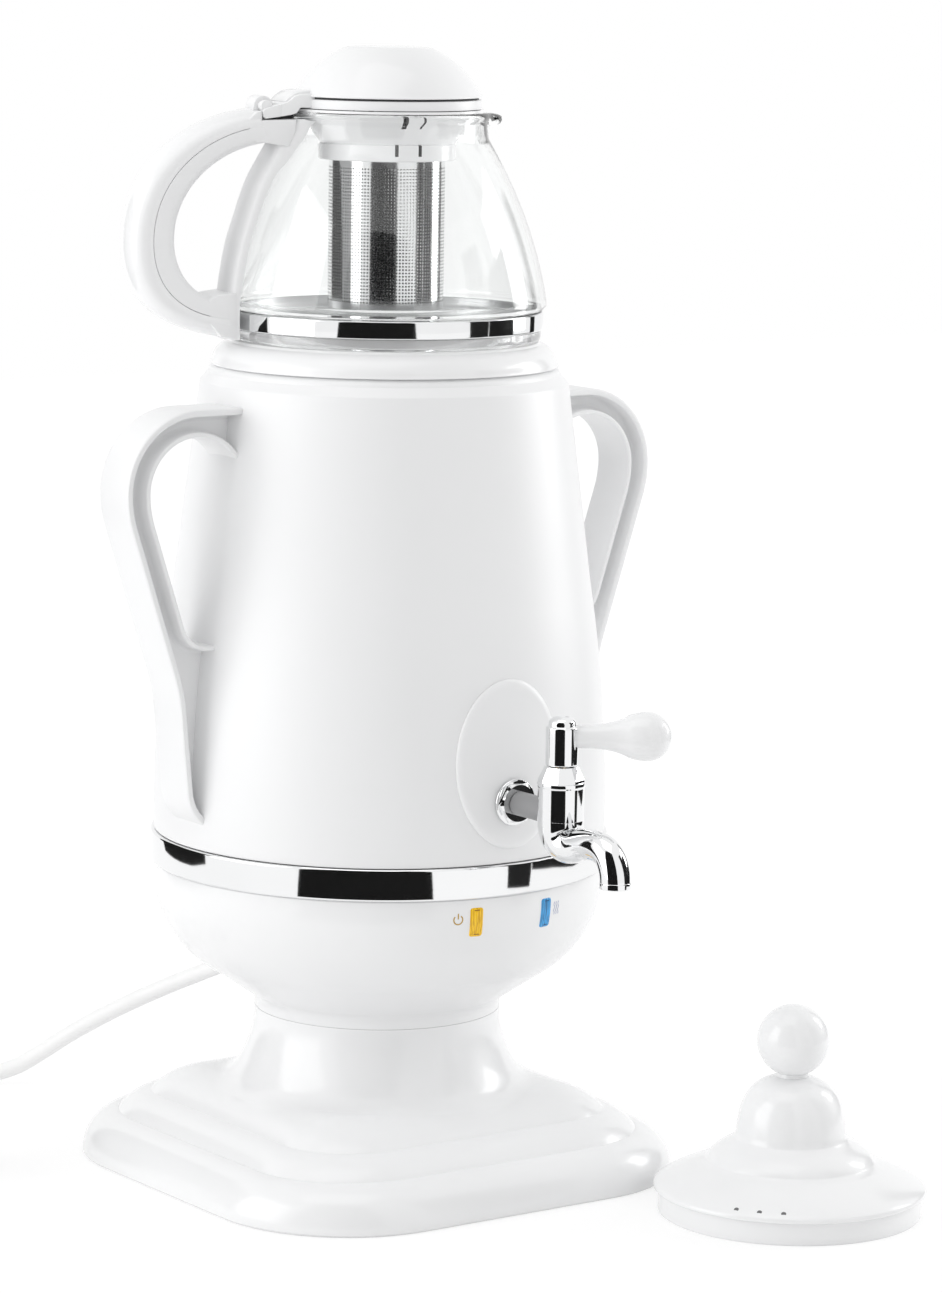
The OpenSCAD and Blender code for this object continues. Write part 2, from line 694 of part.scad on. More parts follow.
module top_collar() {
    nose_r = 9.7;
    color(white) rotate_extrude() polygon(concat(
        [[seam_r, collar_z]],
        arc(collar_top_r - 2.1, collar_top_z - nose_r - 0.6, nose_r, 8, 76, 8),
        [[collar_top_r - 0.6, collar_top_z], [recess_r, collar_top_z],
        [recess_r, collar_top_z - recess_depth], [mouth_r, collar_top_z - recess_depth],
        [mouth_r, collar_lip_z], [mouth_r + lip_t, collar_lip_z],
        [mouth_r + lip_t, collar_z + tank_wall + gasket_t],
        [tank_rim_r + 0.4, collar_z + tank_wall + gasket_t], [tank_rim_r + 0.4, collar_z]]));
}

module collar_gasket() {
    color("gray") translate([0, 0, tank_rim_z + tank_wall]) difference() {
        cylinder(r = tank_rim_r, h = gasket_t);
        translate([0, 0, -1]) cylinder(r = tank_top_r + 0.5, h = 4);
    }
}

module water_tank() {
    color(steel) difference() {
        union() {
            rotate_extrude() polygon([[0, tank_bottom_z], [tank_bottom_r - 3, tank_bottom_z],
                [tank_bottom_r, tank_bottom_z + 3], [tank_top_r, tank_rim_z],
                [tank_rim_r, tank_rim_z], [tank_rim_r, tank_rim_z + tank_wall],
                [tank_top_r - tank_wall, tank_rim_z + tank_wall],
                [tank_bottom_r - tank_wall, tank_bottom_z + 3.5],
                [tank_bottom_r - 3.5, tank_bottom_z + tank_wall], [0, tank_bottom_z + tank_wall]]);
            translate([0, -boss_end, tap_z]) rotate([-90, 0, 0]) cylinder(r = boss_r, h = boss_len);
        }
        translate([0, -boss_end - 5, tap_z]) rotate([-90, 0, 0]) cylinder(r = stem_r + 0.2, h = 40);
        translate([0, 0, tank_bottom_z + 5]) cylinder(r = 72, h = 60);
    }
}

module heat_plate() {
    color("gainsboro") translate([0, 0, tank_bottom_z - heat_plate_t])
        cylinder(r = heat_plate_r, h = heat_plate_t);
}

module heating_element() {
    open = 32;
    z = tank_bottom_z - heat_plate_t - element_tube_r;
    color("darkslategray") translate([0, 0, z]) {
        rotate(90 + open / 2) rotate_extrude(angle = 360 - open)
            translate([element_r, 0]) circle(r = element_tube_r, $fn = 32);
        for (side = [-1, 1]) rotate(90 + side * open / 2) translate([element_r, 0, 0]) {
            sphere(r = element_tube_r, $fn = 32);
            translate([0, 0, -16]) cylinder(r = element_tube_r, h = 16, $fn = 32);
            translate([0, 0, -24]) cylinder(r = 1.2, h = 10, $fn = 24);
        }
    }
}

module thermostats() {
    z = tank_bottom_z - heat_plate_t;
    color("saddlebrown") for (x = [-20, 20]) translate([x, 0, z]) rotate([180, 0, 0]) {
        cylinder(r = 9, h = 7);
        translate([0, 0, 7]) cylinder(r = 6, h = 4);
        for (y = [-4, 4]) translate([-3, y - 0.4, 10]) cube([6, 0.8, 8]);
    }
}

module clamp_bar() {
    half = bowl_r - shell_wall - 2;
    color(steel) difference() {
        translate([-half, -bar_w / 2, bar_z]) cube([2 * half, bar_w, bar_t]);
        for (x = [-stud_x, stud_x]) translate([x, 0, bar_z - 1])
            cylinder(r = stud_r + push_gap, h = 5);
    }
}

module clamp_studs() {
    color(steel) for (x = [-stud_x, stud_x]) translate([x, 0, 0]) {
        translate([0, 0, bar_z - 8]) cylinder(r = stud_r, h = tank_bottom_z - bar_z + 8);
        translate([0, 0, bar_z - 4]) cylinder(r = 4.6, h = 4, $fn = 6);
    }
}

module terminal_block() {
    z = neck_top_z + bowl_floor_t;
    color("ivory") difference() {
        translate([-16, ledge_r + 1, z]) cube([32, 12, 12]);
        for (x = [-10, 0, 10]) translate([x, ledge_r + 7, z + 3]) cylinder(r = 1.8, h = 12);
    }
}

// ================= body handles =================

module handle_solid() {
    gap_pad = 0.05;
    color(white) difference() {
        rotate([90, 0, 0]) {
            linear_extrude(web_t, center = true) difference() {
                polygon(handle_outer(0));
                polygon(handle_gap(0));
            }
            linear_extrude(flange_w, center = true) difference() {
                polygon(handle_outer(0));
                polygon(concat([[root_x - 1, handle_top_z - outer_flange_t]],
                    handle_outer(outer_flange_t), [[root_x - 1, foot_z - 16]]));
            }
            linear_extrude(flange_w, center = true) difference() {
                polygon(handle_gap(inner_flange_t));
                polygon(handle_gap(0, root_x - 1));
            }
            translate([0, handle_screw_z[0], 0]) linear_extrude(9, center = true)
                translate([root_x, -3.4]) square([28, 6.8]);
            translate([0, handle_screw_z[1], 0]) linear_extrude(9, center = true)
                translate([root_x, -3.4]) square([40, 6.8]);
        }
        body_solid(gap_pad);
        for (z = handle_screw_z) translate([body_r_at(z) - 4, 0, z]) rotate([0, 90, 0])
            cylinder(r = screw_r + push_gap, h = 10);
    }
}

module right_handle() handle_solid();

module left_handle() mirror([1, 0, 0]) handle_solid();

module handle_screws() {
    color(steel) for (side = [0, 180]) rotate(side) for (z = handle_screw_z)
        translate([body_r_at(z) - shell_wall, 0, z]) rotate([0, 90, 0]) pan_screw(8);
}

// ================= tap =================

// Children laid on the tap's stem axis: their +Z leads away from the body
module on_stem_axis(y) translate([0, -y, tap_z]) rotate([90, 0, 0]) children();

// Point of the escutcheon's face: u from centre to edge, a round it, t above the body
function escutcheon_point(u, a, t) =
    let (x = escutcheon_half_w * u * cos(a), z = escutcheon_z + escutcheon_half_h * u * sin(a),
        r = body_r_at(z) + t) [x, -sqrt(r * r - x * x), z];

module escutcheon() {
    sectors = 40;
    face = [[1, 0.1], [1, 0.9], [0.975, 1.25], [0.93, 1.45], [0.75, 1.58], [0.45, 1.8],
        [0.15, escutcheon_t - 0.03]];
    back = [[0.15, 0.1], [0.5, 0.1], [0.8, 0.1]];
    loop = concat(face, back);
    m = len(loop);
    k = len(face) - 1;
    front = sectors * m;
    rear = front + 1;
    points = concat([for (i = [0:sectors - 1]) for (p = loop)
        escutcheon_point(p[0], 360 * i / sectors, p[1])],
        [escutcheon_point(0, 0, escutcheon_t), escutcheon_point(0, 0, 0.1)]);
    sides = [for (i = [0:sectors - 1]) let (i2 = (i + 1) % sectors) for (j = [0:m - 1])
        let (a = i * m + j, b = i * m + (j + 1) % m, c = i2 * m + j, d = i2 * m + (j + 1) % m)
        each j == k ? [[a, front, c], [rear, b, d]] : [[a, b, d], [a, d, c]]];
    color(white) difference() {
        polyhedron(points, sides, convexity = 8);
        on_stem_axis(80) cylinder(r = stem_r + 0.3, h = 30);
    }
}

module tap_stem() {
    color("darkgray") on_stem_axis(stem_inner_end) difference() {
        cylinder(r = stem_r, h = tap_reach - barrel_r + 0.8 - stem_inner_end);
        translate([0, 0, -1]) cylinder(r = stem_bore_r, h = 80);
    }
}

module tap_spacer() {
    start = nut_start + nut_t + push_gap;
    color("gray") on_stem_axis(start) difference() {
        cylinder(r = 4.9, h = tap_reach - barrel_r + 0.5 - start);
        translate([0, 0, -1]) cylinder(r = stem_r + push_gap, h = 60);
        translate([0, 60, tap_reach - start]) rotate([90, 0, 0]) cylinder(r = barrel_r, h = 120);
    }
}

module hex_nut(af, t) {
    difference() {
        intersection() {
            rotate(30) cylinder(r = af / sqrt(3), h = t, $fn = 6);
            rotate_extrude() polygon([[0, 0], [af / sqrt(3) + 0.1, 0], [af / sqrt(3) + 0.1, t - 1.1],
                [af / 2 - 0.3, t], [0, t]]);
        }
        translate([0, 0, -1]) cylinder(r = stem_r + push_gap, h = t + 2);
    }
}

module tap_hex_nut() color(chrome) on_stem_axis(nut_start) hex_nut(nut_af, nut_t);

module tap_back_nut() {
    color("darkgray") on_stem_axis(boss_end - boss_len - washer_t) mirror([0, 0, 1])
        hex_nut(14, back_nut_t);
}

module tap_washers() {
    color("dimgray") for (y = [boss_end, boss_end - boss_len - washer_t]) on_stem_axis(y)
        difference() {
        cylinder(r = washer_r, h = washer_t);
        translate([0, 0, -1]) cylinder(r = stem_r + push_gap, h = 4);
    }
}

module on_tap_axis(z) translate([0, -tap_reach, z]) children();

module tap_barrel() {
    color(chrome) difference() {
        union() {
            on_tap_axis(spout_z + 2.6) cylinder(r = barrel_r, h = bonnet_z - spout_z - 2.6);
            on_tap_axis(spout_z + 2.6) sphere(r = barrel_r);
            on_tap_axis(bonnet_z - 1) cylinder(r = barrel_r + 0.25, h = 1);
            on_tap_axis(spout_z) rotate([90, 0, 0]) cylinder(r = spout_r, h = spout_len);
            on_tap_axis(spout_tip_z) translate([0, -spout_len, 0]) rotate([0, 0, 180])
                rotate([90, 0, 90]) rotate_extrude(angle = 90) translate([spout_bend_r, 0])
                circle(r = spout_r, $fn = 48);
            on_tap_axis(spout_tip_z - 1.5) translate([0, -spout_len - spout_bend_r, 0])
                cylinder(r = spout_r + 0.15, h = 2.4);
        }
        on_tap_axis(valve_floor_z) cylinder(r = plug_valve_r + plug_gap, h = 60);
        on_tap_axis(spout_z) cylinder(r = water_way_r, h = 10);
        on_tap_axis(spout_z) rotate([90, 0, 0]) cylinder(r = water_way_r, h = spout_len);
        on_tap_axis(spout_tip_z) translate([0, -spout_len, 0]) rotate([0, 0, 180])
            rotate([90, 0, 90]) rotate_extrude(angle = 90) translate([spout_bend_r, 0])
            circle(r = water_way_r, $fn = 48);
        on_tap_axis(spout_tip_z - 4) translate([0, -spout_len - spout_bend_r, 0])
            cylinder(r = water_way_r, h = 4 + eps);
        on_tap_axis(tap_z) rotate([-90, 0, 0]) cylinder(r = water_way_r, h = 30);
        on_tap_axis(tap_z) translate([0, barrel_r - 0.9, 0]) rotate([-90, 0, 0])
            cylinder(r = stem_r + push_gap, h = 10);
    }
}

module tap_bonnet() {
    color(chrome) on_tap_axis(bonnet_z) difference() {
        intersection() {
            rotate(22.5) cylinder(r = barrel_r + 0.2, h = bonnet_h, $fn = 8);
            rotate_extrude() polygon([[0, 0], [barrel_r + 0.5, 0], [barrel_r + 0.5, 0.9],
                [cap_r + 0.6, bonnet_h], [0, bonnet_h]]);
        }
        translate([0, 0, -1]) cylinder(r = valve_stem_r + plug_gap, h = 20);
    }
}

module valve_plug() {
    plug_top = bonnet_z - 0.2;
    color("goldenrod") on_tap_axis(0) difference() {
        rotate_extrude() polygon([[0, valve_floor_z + 0.2], [plug_valve_r, valve_floor_z + 0.2],
            [plug_valve_r, plug_top], [valve_stem_r, plug_top], [valve_stem_r, cap_z + 10],
            [0, cap_z + 10]]);
        translate([0, 0, tap_z]) rotate([0, -90, 0]) cylinder(r = water_way_r - 0.8, h = 20);
        translate([0, 0, valve_floor_z - 1])
            cylinder(r = water_way_r - 0.8, h = tap_z - valve_floor_z + 1);
    }
}

module lever_cap() {
    color(chrome) on_tap_axis(0) difference() {
        rotate_extrude() polygon(concat([[0, cap_z], [cap_r - 0.4, cap_z], [cap_r, cap_z + 0.5],
            [cap_r, cap_top_z - 0.6], [cap_r - 0.5, cap_top_z], [cap_r - 1, cap_top_z + 0.2]],
            [for (a = [0:15:90]) [(cap_r - 1) * cos(a),
                cap_top_z + 0.9 + (cap_dome_h - 0.9) * sin(a)]]));
        translate([0, 0, cap_z - 1]) cylinder(r = valve_stem_r + plug_gap, h = 11.1);
    }
}

module tap_lever() {
    knob_c = lever_len - lever_knob_r;
    ease = 14;
    color(white) on_tap_axis(lever_z) rotate(lever_turn - 90) difference() {
        rotate([0, 90, 0]) rotate_extrude() polygon(concat([[0, cap_r - 2], [lever_rod_r, cap_r - 2]],
            bezier([[lever_rod_r, ease], [lever_rod_r + 0.6, ease + 8],
                [lever_rod_r + 1.3, knob_c - 9],
                [lever_knob_r * sin(48), knob_c - lever_knob_r * cos(48)]], 8),
            [for (a = [58:11:180]) [lever_knob_r * sin(a), knob_c - lever_knob_r * cos(a)]],
            [[0, lever_len]]));
        translate([0, 0, -20]) cylinder(r = cap_r + 0.05, h = 40);
    }
}

// ================= teapot =================

module on_pot() rotate(pot_turn) children();

module glass_solid(grow) {
    rotate_extrude() polygon(concat(
        glass_line(-grow), [[pot_neck_r + grow, glass_rim_z + grow], [0, glass_rim_z + grow]]));
}

module pot_glass() {
    lip_z = glass_rim_z - 6.2;
    color("lightcyan", 0.4) on_pot() difference() {
        union() {
            rotate_extrude() polygon(concat(glass_line(0),
                [[pot_neck_r + 0.8, glass_rim_z - 2.6], [pot_neck_r + 0.8, glass_rim_z - 0.8],
                [pot_neck_r, glass_rim_z], [0, glass_rim_z]]));
            translate([0, 0, lip_z + 1.4]) linear_extrude(6.2 - 1.4) lip_outline(0);
            translate([0, 0, lip_z]) linear_extrude(1.5) lip_outline(1.2);
        }
        rotate_extrude() polygon(concat(glass_line(glass_wall),
            [[pot_neck_r - glass_wall, glass_rim_z + 1], [0, glass_rim_z + 1]]));
        translate([0, 0, glass_rim_z - 3.4]) linear_extrude(5) lip_outline(1.9);
    }
}

// Plan of the pouring lip, drawn in by an inset
module lip_outline(inset) {
    nose_r = 5.6 - inset;
    hull() {
        translate([lip_reach - 5.6, 0]) circle(r = nose_r, $fn = 32);
        for (side = [-1, 1]) translate([pot_neck_r - 11, side * 17]) circle(r = 6 - inset, $fn = 24);
    }
}

module pot_foot_ring() {
    color("white", 0.8) rotate_extrude() polygon([[recess_r - 4, pot_z - 3.6],
        [spigot_r - 0.8, pot_z - 3.6], [spigot_r, pot_z - 2.8], [spigot_r, pot_z],
        [pot_foot_r - 0.8, pot_z], [pot_foot_r, pot_z + 0.8],
        [pot_foot_r, pot_z + pot_foot_h], [recess_r - 4, pot_z + pot_foot_h]]);
}

module pot_band() {
    color(chrome) rotate_extrude() polygon([[glass_foot_r + glass_gap, pot_band_z],
        [pot_foot_r + 0.9, pot_band_z], [pot_foot_r + 1, pot_band_z + 0.3],
        [pot_foot_r + 1, pot_band_z + pot_band_h - 0.3], [pot_foot_r + 0.9, pot_band_z + pot_band_h],
        [glass_foot_r + glass_gap, pot_band_z + pot_band_h]]);
}

strap_outer = [for (i = [0:12]) let (z = glass_rim_z - 3.5 - (glass_rim_z - 3.5 - grip_bottom_z) * i / 12)
    [(z < belly_z + 3 ? pot_r : glass_r_at(z)) + strap_t + 0.3, z]];
strap_inner = [for (p = strap_outer) [p[0] - strap_t - 3, p[1]]];
strap_half = [[0, 1], [0.55, 0.98], [1, 0.66]];

module hinge_axis_rod(r, half) translate([-hinge_r, 0, hinge_z]) rotate([90, 0, 0])
    cylinder(r = r, h = 2 * half, center = true);

module pot_handle() {
    color(white) on_pot() difference() {
        union() {
            two_line_sweep(grip_inner, grip_outer, grip_half, grip_half_w);
            strap();
            handle_roots();
        }
        glass_solid(glass_gap);
        rotate_extrude() polygon([[0, pot_z - 1], [pot_foot_r + 1.2, pot_z - 1],
            [pot_foot_r + 1.2, belly_z], [0, belly_z]]);
        hinge_axis_rod(hinge_pin_r + 0.05, 30);
    }
}

// The part of the handle that lies along the glass
module strap() two_line_sweep(strap_inner, strap_outer, strap_half, strap_half_w);

// Where the grip joins the strap, and the lug that carries the lid's hinge
module handle_roots() {
    rotate([90, 0, 0]) linear_extrude(2 * grip_half_w - 3, center = true)
        polygon([[-40, glass_rim_z - 3.6], [-46, grip_top_z - 17], [-56, grip_top_z - 14.5],
            [-62, grip_top_z - 13], [-61, grip_top_z - 7.5], [-58, grip_top_z - 5.4]]);
    rotate([90, 0, 0]) linear_extrude(2 * grip_half_w - 3, center = true)
        polygon([[-64, grip_bottom_z], [-74, grip_bottom_z + 3], [-78, pot_z + 12],
            [-78, pot_z + 18], [-68, pot_z + 20]]);
    hinge_axis_rod(knuckle_r - 0.2, lug_half_w);
    rotate([90, 0, 0]) linear_extrude(2 * lug_half_w, center = true)
        polygon([[-hinge_r, hinge_z + 2], [-hinge_r + 2.5, hinge_z - 3], [-hinge_r, grip_top_z - 8],
            [-61, grip_top_z - 8], [-60.5, grip_top_z - 1.5], [-hinge_r - 3.6, hinge_z + 1]]);
}

module grip_cover() {
    color(white) on_pot() difference() {
        two_line_sweep(grip_inner, grip_outer, cover_half, grip_half_w);
        handle_roots();
        strap();
        hinge_axis_rod(knuckle_r + 0.4, 30);
        translate([-hinge_r, -30, hinge_z - 20]) cube([30, 60, 40]);
    }
}

// The pin goes in from the far side; the bore is closed on the other
module hinge_pin() {
    color(steel) on_pot() translate([0, 0.7, 0]) hinge_axis_rod(hinge_pin_r, grip_half_w - 1.7);
}

module strainer_holder() {
    color(white) on_pot() difference() {
        rotate_extrude() polygon([
            [holder_rim_r, holder_top_z], [holder_rim_r, glass_rim_z + 0.05],
            [pot_neck_r - glass_wall - 0.4, glass_rim_z + 0.05],
            [pot_neck_r - glass_wall - 1.2, glass_rim_z - 1.6],
            [holder_cone_r + 2.4, holder_cone_top_z + 1.4], [holder_cone_r, holder_cone_top_z],
            [holder_ring_r - 1, holder_ring_top_z], [holder_ring_r, holder_ring_top_z],
            [holder_ring_r, holder_bottom_z], [strainer_r + 0.1, holder_bottom_z],
            [strainer_r + 0.1, holder_ring_top_z - 1.2], [strainer_r - 1.4, holder_ring_top_z - 1.2],
            [strainer_r - 1.4, holder_ring_top_z + 1],
            [holder_cone_r - holder_wall, holder_cone_top_z + 0.6],
            [holder_in_r, holder_top_z - 1.4], [holder_in_r, holder_top_z]]);
        for (side = [-1, 1]) for (x = [-1, 1]) {
            translate([x * 4.9 - latch_slot_w / 2, side * (holder_ring_r + 2) - 4, holder_bottom_z - 1])
                cube([latch_slot_w, 8, holder_ring_h - 0.2]);
            translate([x * 4.1 - latch_slot_w / 2, side * 36 - 8, holder_cone_top_z - 3])
                cube([latch_slot_w, 16, 5.4]);
        }
    }
}

module strainer_tube() {
    bottom = holder_bottom_z - strainer_len;
    color(chrome) on_pot() difference() {
        translate([0, 0, bottom]) cylinder(r = strainer_r, h = holder_ring_top_z - 1.3 - bottom);
        translate([0, 0, bottom + strainer_wall]) cylinder(r = strainer_r - strainer_wall, h = 90);
    }
}

module pot_lid_dome() {
    z0 = dome_z + dome_rim_t;
    color(white) on_pot() rotate_extrude() polygon(concat(
        [[0, dome_z + dome_rise], [pot_lid_flat_r - 0.6, dome_z + dome_rise]],
        [for (i = [0:14]) let (r = pot_lid_flat_r + (pot_lid_r - pot_lid_flat_r) * sqrt(i / 14))
            [r, dome_z - dome_c + sqrt(pow(dome_sphere_r, 2) - r * r) + (i == 14 ? 0.3 : 0)]],
        [[pot_lid_r - 0.2, dome_z], [skirt_r - 3, dome_z]],
        [for (i = [12:-1:0]) let (r = pot_lid_flat_r - 3 + (skirt_r - pot_lid_flat_r) * sqrt(i / 12))
            [r, dome_z - dome_c + sqrt(pow(dome_sphere_r - lid_wall, 2) - r * r)]],
        [[0, dome_z + dome_rise - lid_wall]]));
}

module pot_lid_skirt() {
    color(white) on_pot() rotate_extrude() polygon([[skirt_r - 2.2, skirt_z], [skirt_r, skirt_z],
        [skirt_r, skirt_top_z], [skirt_r - 4.5, skirt_top_z], [skirt_r - 4.5, skirt_top_z - 1.2],
        [skirt_r - 2.2, skirt_top_z - 1.2]]);
}

arm_side = [[35.4, skirt_z + 0.4], [holder_rim_r + 1.4, skirt_z + 0.4],
    [hinge_r - 2.2, hinge_z - knuckle_r + 0.4],
    [hinge_r, hinge_z - knuckle_r + 0.2], [hinge_r, hinge_z], [hinge_r - 2.2, hinge_z],
    [44.5, hinge_z + 1.2], [43.6, skirt_top_z + 1.4], [35.4, skirt_top_z + 2.4]];
thumb_side = [[37, skirt_z + 1], [51, skirt_z + 1], [51, skirt_z + 4.4], [50.2, skirt_z + 6.4],
    [48.2, skirt_z + 7.6], [44, skirt_z + 8], [40, skirt_z + 7.6], [37, skirt_z + 6.6]];

module lid_arm() {
    slot_half_w = lug_half_w + fit_gap;
    color(white) on_pot() difference() {
        union() {
            rotate([90, 0, 0]) linear_extrude(2 * grip_half_w - 0.8, center = true)
                polygon([for (p = arm_side) [-p[0], p[1]]]);
            rotate([90, 0, 0]) linear_extrude(2 * grip_half_w - 5, center = true)
                polygon([for (p = thumb_side) [-p[0], p[1]]]);
            hinge_axis_rod(knuckle_r, grip_half_w - 0.4);
        }
        rotate_extrude() polygon(concat([[0, skirt_z - 3], [skirt_r + 0.05, skirt_z - 3],
            [skirt_r + 0.05, dome_z - 0.1], [pot_lid_r + 0.1, dome_z - 0.1]],
            [for (i = [0:6]) let (r = pot_lid_r - i) [r + 0.1, dome_z - dome_c
                + sqrt(pow(dome_sphere_r, 2) - r * r) + 0.4]],
            [[0, dome_z + 30]]));
        translate([0, 42 - grip_half_w, 0]) hinge_axis_rod(hinge_pin_r + 0.05, 40);
        hinge_axis_rod(knuckle_r + 0.2, slot_half_w);
        translate([-hinge_r - 10, -slot_half_w, hinge_z - 10])
            cube([10 + knuckle_r, 2 * slot_half_w, 10]);
    }
}

// ================= boiler lid, lying on the surface beside the base =================

module on_tank_lid() translate([tank_lid_x, tank_lid_y, 0]) children();

// Half section of the lid's flange and bell
bell_line = concat(
    [[lid_ring_r, lid_ring_h], [tank_lid_r - 0.4, lid_ring_h], [tank_lid_r, lid_ring_h + 0.8]],
    bezier([[tank_lid_r - 0.3, lid_ring_h + 1.9], [tank_lid_r - 3, lid_ring_h + 4.6],
        [44, lid_ring_h + 8], [36.3, lid_ring_h + 11.2]], 7),
    bezier([[34.2, lid_ring_h + 12.6], [31.6, lid_ring_h + 17.5], [26, lid_ring_h + 19],
        [23, lid_ring_h + 21.8]], 6),
    bezier([[22.4, lid_ring_h + 23.4], [21.6, lid_ring_h + 34], [19.8, lid_ring_h + 44],
        [6.4, lid_ring_h + 47]], 12));

module tank_lid() {
    hollow = [for (p = bell_line) if (p[1] > lid_ring_h + 1.5 && p[0] > 10)
        [p[0] - 2.6, min(p[1] - 2.4, lid_ring_h + 42)]];
    color(white) on_tank_lid() difference() {
        rotate_extrude() polygon(concat([[0, lid_ring_h]], bell_line, [[0, lid_ring_h + 47]]));
        rotate_extrude() polygon(concat([[0, lid_ring_h - 1], [lid_ring_r - 2.4, lid_ring_h - 1]], hollow,
            [[0, lid_ring_h + 42]]));
        for (k = [-1:1]) rotate(-142.3 + 10.5 * k) translate([lid_ring_r - 3.6, 0, 0])
            cylinder(r = steam_hole_r, h = 30, $fn = 24);
    }
}

module tank_lid_ring() {
    color(white) on_tank_lid() difference() {
        cylinder(r = lid_ring_r, h = lid_ring_h);
        translate([0, 0, -1]) cylinder(r = lid_ring_r - 2.4, h = 20);
    }
}

module tank_lid_knob() {
    color(white) on_tank_lid() {
        translate([0, 0, lid_ring_h + 47]) cylinder(r = 6.2, h = 4);
        translate([0, 0, ball_z]) sphere(r = ball_r);
    }
}

// ================= cord =================

module cord_gland() {
    taper_r = cord_r + 2.8;
    color("white") on_gland_axis() difference() {
        union() {
            translate([0, 0, -6]) cylinder(r = 5.1, h = gland_seat + 6);
            translate([0, 0, -8]) cylinder(r = 6.6, h = 2);
            translate([0, 0, gland_seat]) cylinder(r = 7.6, h = 3);
            translate([0, 0, gland_seat + 3]) cylinder(r1 = taper_r, r2 = cord_r + 1,
                h = gland_len - gland_seat - 3);
        }
        for (z = [gland_seat + 8:5:gland_len - 6]) translate([0, 0, z]) difference() {
            cylinder(r = 12, h = 1.6);
            translate([0, 0, -1]) cylinder(r = cord_r + 0.7, h = 4);
        }
    }
}

module cord() color("white") difference() {
    route_tube(cord_route, cord_r);
    coil_solid();
}

module coil_solid() {
    inner = coil_mean_r - cord_d;
    outer = coil_mean_r + cord_d;
    translate([coil_centre[0], coil_centre[1], 0]) rotate_extrude()
        polygon([[inner, 0], [outer, 0], [outer, cord_d], [outer - cord_r, cord_d * 1.86],
            [inner + cord_r, cord_d * 1.86], [inner, cord_d]]);
}

module cord_coil() color("white") coil_solid();

module cord_tail() color("white") difference() {
    route_tube(tail_route, cord_r);
    coil_solid();
}

module mains_plug() {
    face_r = 18.5;
    color("white") on_plug_axis() difference() {
        rotate_extrude() polygon(concat([[0, 0], [cord_r + 0.9, 0], [cord_r + 2, 16], [9, 20]],
            bezier([[10.5, 22], [12.6, 28], [14.6, 34], [15.8, 38.5]], 6),
            [[face_r - 0.9, 42], [face_r, 44], [face_r, 53.5], [face_r - 1, 55], [0, 55]]));
        for (a = [90, 270]) rotate(a) translate([face_r - 1.6, -4, 45]) cube([6, 8, 20]);
    }
}

module plug_pins() {
    color(steel) on_plug_axis() for (x = [-9.5, 9.5]) translate([x, 0, 55])
        rotate_extrude() polygon([[0, 0], [2.4, 0], [2.4, 17.8], [1.4, 19], [0, 19]]);
}

base_shell();
bottom_cover();
base_feet();
base_screws();
bowl_shell();
bowl_screws();
chrome_band();
amber_lens();
blue_lens();
lamp_holders();
body_shell();
top_collar();
collar_gasket();
water_tank();
heat_plate();
heating_element();
thermostats();
clamp_bar();
clamp_studs();
terminal_block();
left_handle();
right_handle();
handle_screws();
escutcheon();
tap_stem();
tap_spacer();
tap_hex_nut();
tap_back_nut();
tap_washers();
tap_barrel();
tap_bonnet();
valve_plug();
lever_cap();
tap_lever();
cord_gland();
cord();
cord_coil();
cord_tail();
mains_plug();
plug_pins();
pot_glass();
pot_foot_ring();
pot_band();
pot_handle();
grip_cover();
hinge_pin();
strainer_holder();
strainer_tube();
pot_lid_dome();
pot_lid_skirt();
lid_arm();
tank_lid();
tank_lid_ring();
tank_lid_knob();
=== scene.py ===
"""Electric samovar with a glass teapot: every visible piece, its finish, the floor, lights and camera.

All lengths in the code are millimetres and are turned into metres when a mesh is made.
"""
import math

import bmesh
import bpy
from bpy.props import FloatProperty, FloatVectorProperty, IntProperty, PointerProperty
from mathutils import Matrix, Vector


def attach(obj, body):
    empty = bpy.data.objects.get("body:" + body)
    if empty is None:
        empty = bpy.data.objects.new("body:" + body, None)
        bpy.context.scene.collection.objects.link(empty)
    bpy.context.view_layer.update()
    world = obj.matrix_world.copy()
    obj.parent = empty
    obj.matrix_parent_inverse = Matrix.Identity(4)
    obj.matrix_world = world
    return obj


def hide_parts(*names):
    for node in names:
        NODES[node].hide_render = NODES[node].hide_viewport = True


bl_info = {
    "name": "Electric Samovar",
    "version": (1, 0, 0),
    "blender": (4, 5, 0),
    "location": "View3D > Sidebar > Samovar",
    "description": "Builds an electric samovar with its glass teapot and puts it on a pale floor",
    "category": "Object",
}

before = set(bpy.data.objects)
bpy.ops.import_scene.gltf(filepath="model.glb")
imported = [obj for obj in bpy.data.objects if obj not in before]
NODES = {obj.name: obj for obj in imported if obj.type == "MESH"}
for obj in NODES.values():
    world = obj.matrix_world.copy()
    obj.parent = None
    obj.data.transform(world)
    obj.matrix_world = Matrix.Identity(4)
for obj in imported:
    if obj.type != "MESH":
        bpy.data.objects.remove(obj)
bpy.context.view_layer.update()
MM = 0.001


# ---------------------------------------------------------------- sizes and colours

def length(name, description, default_mm, low=0.0, high=1000.0):
    """A length in metres with limits given in millimetres."""
    return FloatProperty(name=name, description=description, default=default_mm * MM,
                         min=low * MM, max=high * MM, unit="LENGTH", subtype="DISTANCE")


def colour(name, description, default):
    return FloatVectorProperty(name=name, description=description, default=default,
                               min=0.0, max=1.0, size=3, subtype="COLOR")


